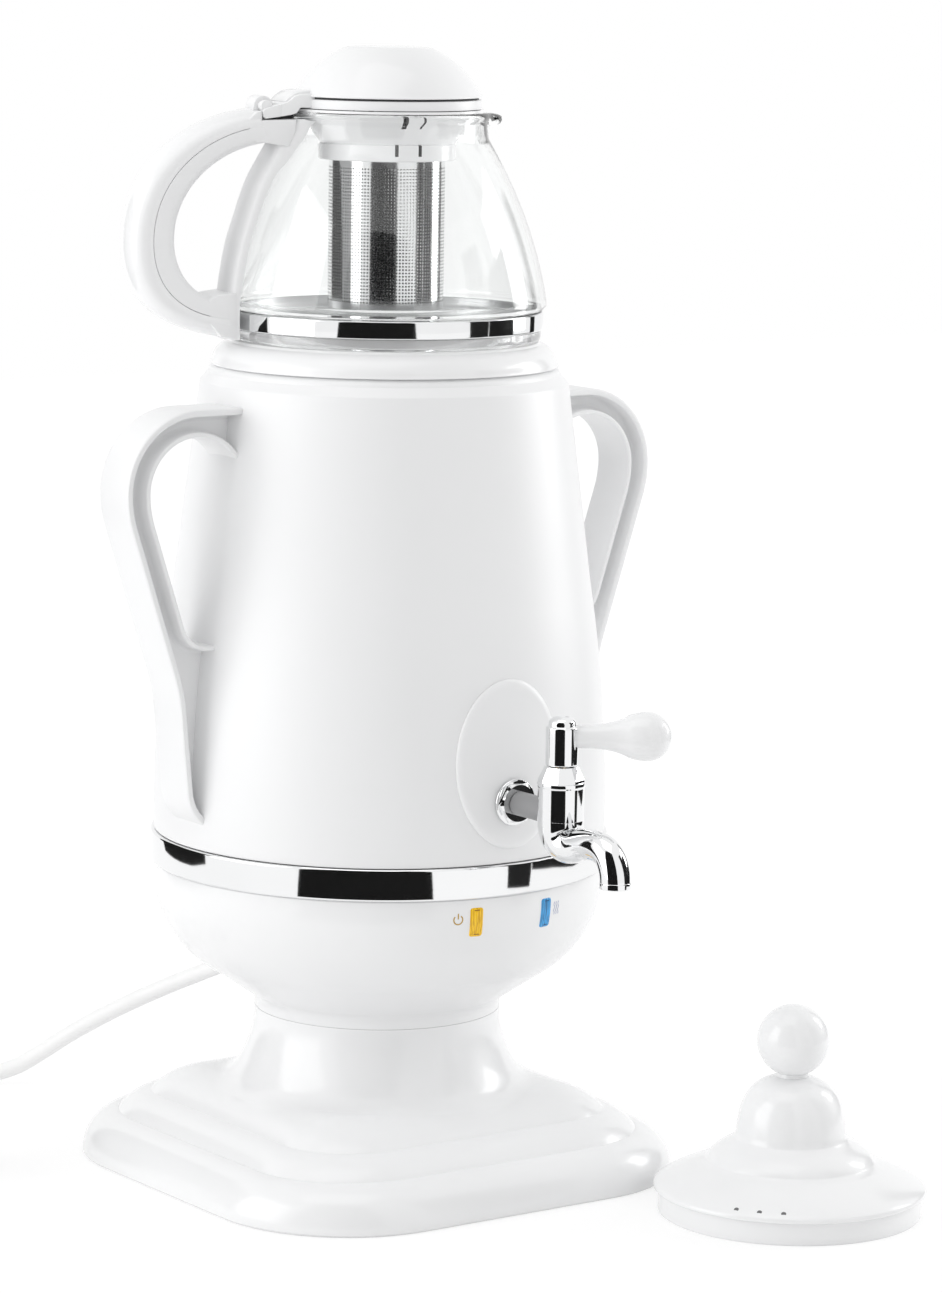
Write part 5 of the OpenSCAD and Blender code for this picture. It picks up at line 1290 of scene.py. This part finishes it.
def lip_warp(p, first, lip):
    """Draws the rim out into the pouring lip; lip lists its section from point first on."""
    def warp(k, r, z, a):
        fold = a if a <= 180 else a - 360
        share = math.exp(-(fold / LIP_WIDTH) ** 2)
        if first <= k < first + len(lip):
            lr, lz = lip[k - first]
            return r + (lr - r) * share, z + (lz - z) * share
        rise = max(0.0, min(1.0, (z - RIM_Z + 24) / 15.0))
        return r + (lip[0][0] - p.neck_r - 0.3) * share * rise ** 2, z
    return warp


def unshadowed(obj):
    """Keeps an object out of shadows and out of diffuse light."""
    obj.visible_shadow = False
    obj.visible_diffuse = False


class SAMOVAR_OT_teapot(bpy.types.Operator):
    """Makes the teapot's glass with its lip, its chrome band and its clear foot ring"""
    bl_idname = "samovar.teapot"
    bl_label = "Teapot glass and band"

    def execute(self, context):
        p = sizes("samovar_teapot")
        outside = glass_outline(p, 0)
        neck = (at(p.neck_r, RIM_Z, (0.15, -8.6), (0, -7), (0, -5.4), (0, -3.6), (0.7, -2.8), (0.9, -1.6),
                   (0.6, -0.5), (-0.4, 0), (-1.4, -0.2))
                + at(p.neck_r - p.wall, RIM_Z, (0.1, -1.2), (0, -3.8), (0, -7)))
        lip = at(p.lip_reach, RIM_Z, (-6.4, -10.3), (-5.9, -7.9), (-5.1, -6.2), (-3.2, -6.0), (-0.9, -5.4),
                 (0, -3.9), (-0.3, -2.2), (-1.6, -1.4), (-3.8, -1.9), (-7.0, -3.3), (-9.4, -5.1),
                 (-10.4, -7.9))
        line = outside + neck + list(reversed(glass_outline(p, p.wall)))
        glass = lathe("glass_jug", line, 240, sharp=60, warp=lip_warp(p, len(outside), lip), closed=False)
        finish(move(glass, pot_frame()), clear_glass(), "teapot", "glass", "pot_glass")
        unshadowed(glass)
        z0, z1 = POT_Z + 4.9, POT_Z + 12.1
        line = (at(65.1, z0, (-1, 0), (-0.3, 0), (0, 0.4)) + [(65.12, (z0 + z1) / 2)]
                + at(65.1, z1, (0, -0.4), (-0.3, 0), (-1, 0)))
        band = lathe("jug_band", soften(line, 0.3, 20), 200)
        finish(band, chrome(), "teapot", "chrome", "pot_band")
        # The band's inside takes the duller plating, painted lighter: painted light.
        paint_faces(band, painted_light_plating(), lambda x, y, z: math.hypot(x, y) < 64.5)
        move(band, pot_frame())
        line = at(0, POT_Z, (52.8, -3.6), (55.4, -3.6), (56.2, -2.8), (56.2, 0), (63.2, 0), (64.1, 0.9),
                  (64.1, 4.8), (52.8, 4.8))
        ring = lathe("foot_ring", soften(line, 0.4, 20), 200)
        finish(move(ring, pot_frame()), clear_plastic(), "teapot", "clear_plastic", "pot_foot_ring")
        unshadowed(ring)
        return {"FINISHED"}


def handle_curves(p):
    top, low, mid = RIM_Z + 1, POT_Z + 1.2, POT_Z + 40.7
    reach = p.handle_reach
    outer = (bezier([(60, top), (88.8, top - 3.5), (reach, mid + 29.5), (reach, mid)], 30)
             + bezier([(reach, mid), (reach, mid - 25), (97, low + 3.6), (67, low)], 26)[1:])
    inn = reach - 18.9
    inner = (bezier([(54.5, top - 13.5), (73.5, top - 15.4), (inn, mid + 23), (inn, mid + 1)], 30)
             + bezier([(inn, mid + 1), (inn, mid - 12), (85, POT_Z + 18.3), (74, POT_Z + 18.3)], 26)[1:])
    return inner, outer


def between(name, inner, outer, half, width):
    """A skin between two lines: half lists (share from inner to outer, share of the width)."""
    rings = []
    for a, b in zip(inner, outer):
        row = [(a[0] + (b[0] - a[0]) * q, a[1] + (b[1] - a[1]) * q, w * width) for q, w in half]
        rings.append([(-x, w, z) for x, z, w in row] + [(-x, -w, z) for x, z, w in reversed(row)])
    return loft(name, rings)


def along(x, table):
    """Value at x in a table of (place, value), eased between its rows."""
    for (x0, v0), (x1, v1) in zip(table, table[1:]):
        if x <= x1:
            u = max(0.0, (x - x0) / (x1 - x0))
            return v0 + (v1 - v0) * u * u * (3 - 2 * u)
    return table[-1][1]


def strap_on_glass(p, width):
    """The strap: it rests on the glass in its middle, stands off it at its sides and hugs the neck."""
    half = [(0.0, 1.0), (0.12, 1.0), (0.5, 0.98), (0.75, 0.93), (0.9, 0.84), (1.0, 0.66)]
    top, low = RIM_Z - 2.9, POT_Z + 1.2
    rings = []
    for i in range(STRAP_STEPS + 1):
        z = top - (top - low) * i / STRAP_STEPS
        upright = z < BELLY_Z + 3
        r = p.belly_r if upright else glass_radius(p, z)
        x = (max(r, 66.0) if upright else r) + 0.25
        back = r + along(z - POT_Z, STRAP_DEPTH)
        off = along(z - POT_Z, STRAP_STAND_OFF)
        row = []
        for q, wq in half:
            edge = x + off * (wq if off > 0 else wq * wq)
            row.append((edge + (back - edge) * q, z, width * wq))
        ring = [(-x1, y, z1) for x1, z1, y in row] + [(-x1, -y, z1) for x1, z1, y in reversed(row)]
        for u in (-0.66, -0.33, 0, 0.33, 0.66):
            ring.append((-x - off * (abs(u) if off > 0 else u * u), width * u, z))
        rings.append(ring)
    return loft("strap", rings)


class SAMOVAR_OT_grip(bpy.types.Operator):
    """Makes the teapot's handle with its cover and its strap along the glass"""
    bl_idname = "samovar.grip"
    bl_label = "Teapot handle"

    def execute(self, context):
        p = sizes("samovar_teapot")
        inner, outer = handle_curves(p)
        w = p.grip_w
        core_half = [(0.0, 0.6), (0.01, 0.76), (0.05, 0.9), (0.11, 0.975), (0.2, 1.0), (0.47, 1.0),
                     (0.487, 0.995), (0.495, 0.975)]
        cover_half = [(0.504, 0.975), (0.511, 0.995), (0.53, 1.0), (0.64, 0.995), (0.74, 0.96), (0.83, 0.88),
                      (0.9, 0.76), (0.95, 0.61), (0.98, 0.44), (1.0, 0.22)]
        core = between("core", inner, outer, core_half, w)
        strap = strap_on_glass(p, w - 0.1)
        top = RIM_Z + 1
        root = plate("root", at(0, top, (-43, -4), (-43.4, -9), (-46, -15), (-52, -14), (-56, -13.4),
                                (-62, -12.6), (-63, -6.6), (-60.5, -5.2), (-56.6, -4.3)), w - 0.1, 0.5)
        rest = plate("rest", at(0, top, (-57.5, -4.6), (-63, -6.6), (-62.6, -3.4), (-60, -1.2), (-58.2, -0.5),
                                (-57.6, -0.9)), w - 0.4)
        foot = plate("foot", at(0, POT_Z, (-66.5, 1.3), (-74, 2.6), (-79, 8), (-79, 18), (-76, 19.4),
                                (-68, 20.4)), w - 0.15, 0.5)
        lug = plate("lug", at(0, top, (-60.2, -2.4), (-61, -8), (-55.2, -8), (-53, -1.7))
                    + arc(HINGE_X, top + 1.3, 4.0, 0, 180, 15), 5.6, 0.3)
        made = join("jug_handle", [core, strap, root, rest, foot, lug])
        finish(move(made, pot_frame()), satin_white(), "teapot", "body_white", "pot_handle")
        # A near-black plate between the lid's arm and the handle's top: painted shadow in the gap under the
        # arm.
        gap_shadow = plate("hinge_pad", at(0, top, (-41.9, -4.2), (-56.4, -5), (-53.4, -2.6), (-43, -2.1),
                                    (-42.2, -2.6)), 5.2, 0.2)
        finish(move(gap_shadow, pot_frame()), seam_shadow(), "teapot", "body_white")
        cover = between("jug_handle_cover", inner, outer, cover_half, w)
        finish(move(cover, pot_frame()), gloss_white(), "teapot", "gloss_white", "grip_cover")
        dress(brushed_steel(), "hinge_pin")
        return {"FINISHED"}


class SAMOVAR_OT_strainer(bpy.types.Operator):
    """Makes the strainer's holder and its perforated tube"""
    bl_idname = "samovar.strainer"
    bl_label = "Strainer"

    def execute(self, context):
        p = sizes("samovar_teapot")
        cone_z = RIM_Z - 4.5
        ring_z = cone_z - 8.4
        low = ring_z - 7
        self.tube(p, low - 60.4, low)
        self.holder(p, cone_z, ring_z, low)
        return {"FINISHED"}

    def tube(self, p, bottom, top):
        """The tube: two skins with rows of square holes, walled between them, over a flat floor."""
        first, last = bottom + 3.0, top - 2.2
        pitch = (last - first) / p.hole_rows
        heights, holed = [bottom, bottom + 1.2, first], [False, False]
        for k in range(p.hole_rows):
            z = first + k * pitch
            heights += [z + pitch * HOLE_SHARE, z + pitch]
            holed += [True, False]
        heights.append(top + 3)
        holed.append(False)
        n = p.hole_columns * 2
        angles = [360 * (i // 2 + (HOLE_SHARE if i % 2 else 0)) / p.hole_columns for i in range(n)]
        verts = [(r * cosd(a), r * sind(a), z) for r in (p.strainer_r, p.strainer_r - 0.5)
                 for z in heights for a in angles]
        skin = n * len(heights)
        faces = []
        for row, with_holes in enumerate(holed):
            for i in range(n):
                a, b = row * n + i, row * n + (i + 1) % n
                c, d = a + n, b + n
                if with_holes and i % 2 == 0:
                    faces += [(u, v, v + skin, u + skin) for u, v in ((a, b), (d, c), (c, a), (b, d))]
                else:
                    faces += [(a, b, d, c), (b + skin, a + skin, c + skin, d + skin)]
        edge = skin - n
        for i in range(n):
            j = (i + 1) % n
            faces += [(i, skin + i, skin + j, j), (edge + i, edge + j, skin + edge + j, skin + edge + i)]
        faces.append(tuple(range(len(verts), len(verts) + n)))
        floor_r = p.strainer_r - 0.6
        verts += [(floor_r * cosd(a), floor_r * sind(a), bottom + 0.5) for a in angles]
        made = mesh_object("perforated_tube", verts, faces, 30)
        finish(made, strainer_steel(), "teapot", "steel", "strainer_tube")
        # The inside skin and the holes' walls are painted darker: painted shade inside the tube.
        paint_faces(made, strainer_inside_shade(), lambda x, y, z: math.hypot(x, y) < p.strainer_r - 0.1)
        move(made, pot_frame())

    def holder(self, p, cone_z, ring_z, low):
        """The holder: a cone that hangs in the neck, a ring round the tube, latch slots in both."""
        mouth, r = p.neck_r - p.wall, p.strainer_r
        line = (at(p.neck_r - 1, RIM_Z, (0, 1), (0, 0.05))
                + at(mouth, RIM_Z, (-0.4, 0.05), (-0.5, -0.1), (-1.2, -1.6))
                + at(0, cone_z, (36.2, 2.2), (35.4, 1.4), (33, 0), (32.1, -1.3), (CONE_R, -1.4))
                + at(0, ring_z, (28.0, 0.8), (27.6, 0.3), (28.0, 0), (RING_R, -0.2))
                + at(0, low, (RING_R, 2.3), (RING_R, 2.2), (RING_R, 0.4), (27.8, 0)) + [(r + 0.1, low)]
                + at(r, ring_z, (0.1, -1.2), (-1.4, -1.2), (-1.4, 1)) + [(31.4, cone_z + 0.6)]
                + at(mouth, RIM_Z, (-2.8, -0.4), (-2.8, 1)))
        slots = [(a - 91.5 + half, b - 91.5 + half, i, j, deep)
                 for half in (0, 180) for a, b, i, j, deep in LATCH_SLOTS]
        angles = set(range(0, 360, 3))
        for a, b, *_ in slots:
            angles.update(round(c % 360, 3) for c in (a - 0.03, a + 0.03, b - 0.03, b + 0.03))

        def warp(k, r, z, a):
            for a0, a1, i, j, deep in slots:
                if i <= k <= j and 0 < (a - a0) % 360 < a1 - a0:
                    return r - deep, z
            return r, z

        made = lathe("strainer_seat", line, sharp=30, warp=warp, angles=sorted(angles))
        finish(made, gloss_white(), "teapot", "body_white", "strainer_holder")

        def in_slot(x, y, z):
            a, r = math.degrees(math.atan2(y, x)), math.hypot(x, y)
            for a0, a1, i, j, _ in slots:
                if (a - a0 + 0.1) % 360 < a1 - a0 + 0.2 and line[j][1] - 0.15 < z < line[i][1] + 0.15:
                    wall = RING_R if i > 10 else CONE_R + (z - cone_z + 1.4) * 1.15
                    return wall - 4.4 < r < wall - 0.5
            return False

        # The slots' sunk faces are painted near black: painted shade in the slots.
        paint_faces(made, rubber_and_painted_shade("Slot Shadow", (0.07, 0.07, 0.072)), in_slot)
        move(made, pot_frame())


class SAMOVAR_OT_jug_lid(bpy.types.Operator):
    """Makes the teapot's lid with its skirt and its hinge arm"""
    bl_idname = "samovar.jug_lid"
    bl_label = "Teapot lid"

    def execute(self, context):
        p = sizes("samovar_teapot")
        r, flat = p.lid_r, 17
        drop = (r ** 2 - flat ** 2 - p.lid_h ** 2) / (2 * p.lid_h)
        ball = math.sqrt(r ** 2 + drop ** 2)
        z = RIM_Z + 1 + 0.3 + 4.6 + 0.1
        a0, a1 = (math.degrees(math.asin(edge / ball)) for edge in (r, flat))
        dome = arc(0, z - drop, ball, 90 - a0, 90 - a1, 28)
        line = (at(r, z, (-4, 0), (-0.5, 0), (-0.1, 0.1), (0, 0.5))
                + [(x, y + 0.15) for x, y in dome[1:-1]]
                + at(0, z + p.lid_h, (flat + 0.4, -0.25), (flat - 0.6, 0), (0, 0), (0, -2), (flat - 2, -2))
                + [(x - 2, y - 1.6) for x, y in reversed(dome[2:-1])])
        lid = lathe("lid_dome", soften(line, 0.5, 16), 180)
        finish(move(lid, pot_frame()), gloss_white(), "teapot_lid", "gloss_white", "pot_lid_dome")
        r, z0, z1 = r - 0.6, RIM_Z + 1.3, RIM_Z + 5.9
        line = (at(r, z0, (-2.2, 0), (0, 0))
                + at(r, z1, (0, -0.9), (-1.1, -0.9), (-1.1, 0), (-4.5, 0), (-4.5, -1.2), (-2.2, -1.2)))
        skirt = lathe("lid_skirt", soften(line, 0.2), 160)
        finish(skirt, satin_white(), "teapot_lid", "body_white", "pot_lid_skirt")
        # The skirt's top rim under the dome is painted near black: painted shadow of the gap between dome and
        # skirt.
        paint_faces(skirt, seam_shadow(), lambda x, y, z: math.hypot(x, y) > r - 1.3 and z > z1 - 0.75)
        move(skirt, pot_frame())
        self.arm(p)
        return {"FINISHED"}

    def arm(self, p):
        """The arm: a bar under the dome, two cheeks beside the hinge lug, and the thumb rest."""
        w = p.grip_w - 0.4
        bar = at(0, RIM_Z, (-34.5, 1.7), (-41.2, 1.7), (-42.8, -0.5), (-45.2, -1.2), (-49.6, -1.9),
                 (-49.6, 3.2), (-46.8, 4), (-45.2, 5), (-44, 6.3), (-41.2, 7.2), (-34.5, 7.5))
        cheek = at(0, RIM_Z, (-49.4, -1.9), (-55.8, -2.7), (-56.9, -2), (-57.1, 0.2), (-56.4, 1.3),
                   (-54.5, 1.9), (-49.4, 3.25))
        ear = arc(HINGE_X, RIM_Z + 2.3, 2.5, 0, 345, 23)
        thumb = at(0, RIM_Z, (-34.5, 6), (-34.5, 8.7), (-39, 8.6), (-43, 7.8), (-46, 5.8), (-47.6, 3.9),
                   (-45, 3.4))
        parts = [plate("bar", bar, w, 0.5)]
        for side in (-1, 1):
            parts.append(move(plate("cheek", cheek, 2.8), shift(0, side * (w - 2.8), 0)))
            parts.append(move(plate("ear", ear, 2.2, 0.3), shift(0, side * (w - 3.4), 0)))
        parts.append(plate("thumb", thumb, w - 1.8, 0.7))
        arm = move(join("lid_hinge_arm", parts), pot_frame())
        finish(arm, gloss_white(), "teapot_lid", "gloss_white", "lid_arm")


# ---------------------------------------------------------------- the boiler's lid

LID_RING_H = 9.3
VENT_PLACE, VENT_STEP = -142.3, 10.5  # direction of the middle vent and the angle between two


class SAMOVAR_OT_boiler_lid(bpy.types.Operator):
    """Makes the boiler's own lid, which lies beside the base"""
    bl_idname = "samovar.boiler_lid"
    bl_label = "Boiler lid"

    def execute(self, context):
        s = sizes("samovar_lid")
        r, z, high = s.flange_r, LID_RING_H, LID_RING_H + 47
        place = shift(s.x, s.y, 0)
        bell = (at(r, z, (-2, 0), (-0.5, 0), (-0.1, 0.3), (0, 0.9))
                + bezier([(r - 0.3, z + 1.9), (r - 3, z + 4.6), (44, z + 8), (36.3, z + 11.2)], 18)
                + bezier(at(0, z, (34.2, 12.6), (31.6, 17.5), (26, 19), (23, 21.8)), 14)
                + bezier(at(0, z, (22.4, 23.4), (21.6, 34), (19.8, 44), (6.4, 47)), 26))
        under = [(max(x - 2.6, 0), min(y - 2.4, z + 42)) for x, y in bell if y > z + 1.5 and x > 10]
        line = soften(bell, 0.8, 16, 5) + [(0, high), (0, z + 42)] + list(reversed(under)) + [(r - 4.4, z)]
        lid = move(lathe("lid_bell", line, 200), place)
        finish(lid, gloss_white(), "boiler_lid", "gloss_white", "tank_lid")
        vents = []
        for k in (-1, 0, 1):
            dimple = lathe("vent", [(0, 0.03), (1.0, 0.03), (1.05, -0.1), (1.05, -1.4), (0, -1.4)], 32)
            spot = shift(r - 2.6, 0, bell_height(bell, r - 2.6)) @ turn(36, "Y")
            vents.append(move(dimple, place @ turn(VENT_PLACE + VENT_STEP * k) @ spot))
        # The vents' dimples are painted dark grey: painted shade in the vent holes.
        shadow = rubber_and_painted_shade("Vent Shadow", (0.12, 0.12, 0.122))
        finish(join("lid_vents", vents), shadow, "boiler_lid", "gloss_white")
        line = soften([(51.2, 0), (53.6, 0), (53.6, z), (51.2, z)], 0.6)
        ring = lathe("lid_ring", line, 180)
        finish(move(ring, place), gloss_white(), "boiler_lid", "gloss_white", "tank_lid_ring")
        line = at(0, high, (0, 0), (6.6, 0), (6.3, 0.6), (6.1, 1.4))
        line += [(s.ball_r * sind(k), s.height - s.ball_r - s.ball_r * cosd(k)) for k in range(26, 178, 4)]
        knob = lathe("lid_knob", line + [(0, s.height)], 120, sharp=50)
        finish(move(knob, place), gloss_white(), "boiler_lid", "gloss_white", "tank_lid_knob")
        return {"FINISHED"}


def bell_height(bell, r):
    for (r0, z0), (r1, z1) in zip(bell, bell[1:]):
        if z0 > 10.5 and r1 <= r <= r0:
            return z0 + (z1 - z0) * (r0 - r) / max(r0 - r1, 1e-6)
    raise RuntimeError("the radius lies outside the lid")


# ---------------------------------------------------------------- floor, light and camera

FLOOR_HALF, FLOOR_Z = 3000, -0.05
WORLD_LIGHT = 0.74  # what the world sheds on the pieces; the camera and gloss see it at 1
# Name, direction, distance, outline of (sideways, height) and shade of each card
CARDS = (
    ("Front Card", -131, 400,
     [(-236, 0), (246, 0), (204, 330), (176, 640), (-146, 640), (-186, 330)], 0.012),
    ("Right Card", -50, 600,
     [(-124, 0), (13, 0), (23, 330), (16, 640), (-150, 640), (-147, 330)], 0.02),
    ("Far Right Card", -10, 745,
     [(-541, 0), (-300, 8), (-80, 2), (90, 14), (280, 60), (280, 620), (158, 620), (158, 246),
      (-150, 246), (-150, 620), (-541, 620)], 0.015),
    ("Far Left Card", 125, 730,
     [(-330, 40), (-240, 4), (120, 0), (260, 12), (260, 560), (-330, 560)], 0.015),
)


def seen_share(tree):
    """1 for rays that come from the camera, off a gloss or through glass, else 0."""
    path = add_node(tree, "LightPath").outputs
    other = maths(tree, "MAXIMUM", path["Is Transmission Ray"], path["Is Glossy Ray"])
    return maths(tree, "MAXIMUM", path["Is Camera Ray"], other)


def blend(tree, share, first, second, end):
    """Leads the mix of two shader nodes to the end node's surface."""
    mix = add_node(tree, "MixShader", {0: share, 1: first.outputs[0], 2: second.outputs[0]})
    tree.links.new(mix.outputs[0], tree.nodes[end].inputs["Surface"])


def pale_floor(tint, glow, shadow_share, middle, near, far):
    """A floor that reads as pale to the camera and keeps the object's shadow, which fades out
    between two distances from the middle."""
    material = bpy.data.materials.new("Pale Floor")
    material.use_nodes = True
    tree = material.node_tree
    plain = add_node(tree, "BsdfDiffuse", {"Color": tint})
    light = add_node(tree, "Emission", {"Strength": glow})
    place = add_node(tree, "NewGeometry").outputs["Position"]
    away = add_node(tree, "VectorMath", {0: place, 1: Vector(middle) * MM}, operation="DISTANCE")
    span = {"Value": away.outputs["Value"], "From Min": near * MM, "From Max": far * MM,
            "To Min": 1 - shadow_share, "To Max": 1}
    fade = add_node(tree, "MapRange", span, interpolation_type="SMOOTHSTEP")
    share = maths(tree, "MULTIPLY", seen_share(tree), fade.outputs["Result"])
    blend(tree, share, plain, light, "Material Output")
    tree.nodes.remove(tree.nodes["Principled BSDF"])
    return material


def card(name, azimuth, distance, outline, shade):
    """An upright card beside the set that shows only in gloss: outline lists (sideways, height)."""
    c, d = cosd(azimuth), sind(azimuth)
    verts = [(distance * c - x * d, distance * d + x * c, z) for x, z in outline]
    obj = mesh_object(name, verts, [tuple(range(len(verts)))])
    material = surface(name, {"Base Color": (shade, shade, shade, 1), "Roughness": 0.9,
                              "Specular IOR Level": 0.0})
    tree = material.node_tree
    mirrored = maths(tree, "GREATER_THAN", add_node(tree, "LightPath").outputs["Glossy Depth"], 0.5)
    blend(tree, mirrored, add_node(tree, "BsdfTransparent"), tree.nodes["Principled BSDF"], "Material Output")
    obj.data.materials.append(material)
    obj.visible_camera = False
    unshadowed(obj)


def lamp(name, place, target, size, power):
    """A square-cornered soft lamp at a place, facing a target; size is its width and height."""
    data = bpy.data.lights.new(name, "AREA")
    data.shape = "RECTANGLE"
    data.size, data.size_y = size[0] * MM, size[1] * MM
    data.energy = power
    aim = (Vector(target) - Vector(place)).to_track_quat("-Z", "Y").to_matrix().to_4x4()
    add_object(name, data).matrix_world = shift(*place) @ aim


class SAMOVAR_OT_stage(bpy.types.Operator):
    """Makes the pale floor, the lights, the cards and the world"""
    bl_idname = "samovar.stage"
    bl_label = "Floor, light and world"

    def execute(self, context):
        corners = [(x * FLOOR_HALF, y * FLOOR_HALF, FLOOR_Z) for x, y in ((-1, -1), (1, -1), (1, 1), (-1, 1))]
        floor = mesh_object("floor", corners, [(0, 1, 2, 3)])
        floor.data.materials.append(pale_floor((0.94, 0.94, 0.94, 1), 1.07, 0.35, (30, -40, 0), 150, 620))
        lamp("Left Softbox", (-1440, 385, 620), (0, 0, 210), (1100, 1400), 9.2)
        lamp("Right Softbox", (1400, -420, 620), (0, 0, 210), (700, 900), 7.6)
        lamp("Top Softbox", (-300, -200, 1900), (0, 0, 200), (1200, 1200), 3.6)
        for name, azimuth, distance, outline, shade in CARDS:
            card(name, azimuth, distance, outline, shade)
        world = bpy.data.worlds.new("Studio")
        bpy.context.scene.world = world
        world.use_nodes = True
        tree = world.node_tree
        around, seen = (add_node(tree, "Background", {"Color": (1, 1, 1, 1), "Strength": strength})
                        for strength in (WORLD_LIGHT, 1.0))
        blend(tree, seen_share(tree), around, seen, "World Output")
        bpy.context.scene.view_settings.view_transform = "Standard"
        return {"FINISHED"}


# ---------------------------------------------------------------- panel and registration

OPERATORS = (SAMOVAR_OT_cord, SAMOVAR_OT_base, SAMOVAR_OT_bowl, SAMOVAR_OT_body, SAMOVAR_OT_handles,
             SAMOVAR_OT_tap, SAMOVAR_OT_teapot, SAMOVAR_OT_grip, SAMOVAR_OT_strainer, SAMOVAR_OT_jug_lid,
             SAMOVAR_OT_boiler_lid, SAMOVAR_OT_stage)


class SAMOVAR_PT_panel(bpy.types.Panel):
    """Lists the pieces and their sizes"""
    bl_label = "Samovar"
    bl_idname = "SAMOVAR_PT_panel"
    bl_space_type = "VIEW_3D"
    bl_region_type = "UI"
    bl_category = "Samovar"

    def draw(self, context):
        for operator in OPERATORS:
            self.layout.operator(operator.bl_idname)
        for key, group in GROUPS:
            box = self.layout.box()
            box.label(text=group.__doc__)
            for name in group.__annotations__:
                box.prop(getattr(context.scene, key), name)


def register():
    for key, group in GROUPS:
        bpy.utils.register_class(group)
        setattr(bpy.types.Scene, key, PointerProperty(type=group))
    for cls in OPERATORS + (SAMOVAR_PT_panel,):
        bpy.utils.register_class(cls)


def unregister():
    for cls in reversed(OPERATORS + (SAMOVAR_PT_panel,)):
        bpy.utils.unregister_class(cls)
    for key, group in reversed(GROUPS):
        delattr(bpy.types.Scene, key)
        bpy.utils.unregister_class(group)


def main():
    register()
    make_camera()
    for operator in OPERATORS:
        category, name = operator.bl_idname.split(".")
        getattr(getattr(bpy.ops, category), name)()


if __name__ == "__main__":
    main()
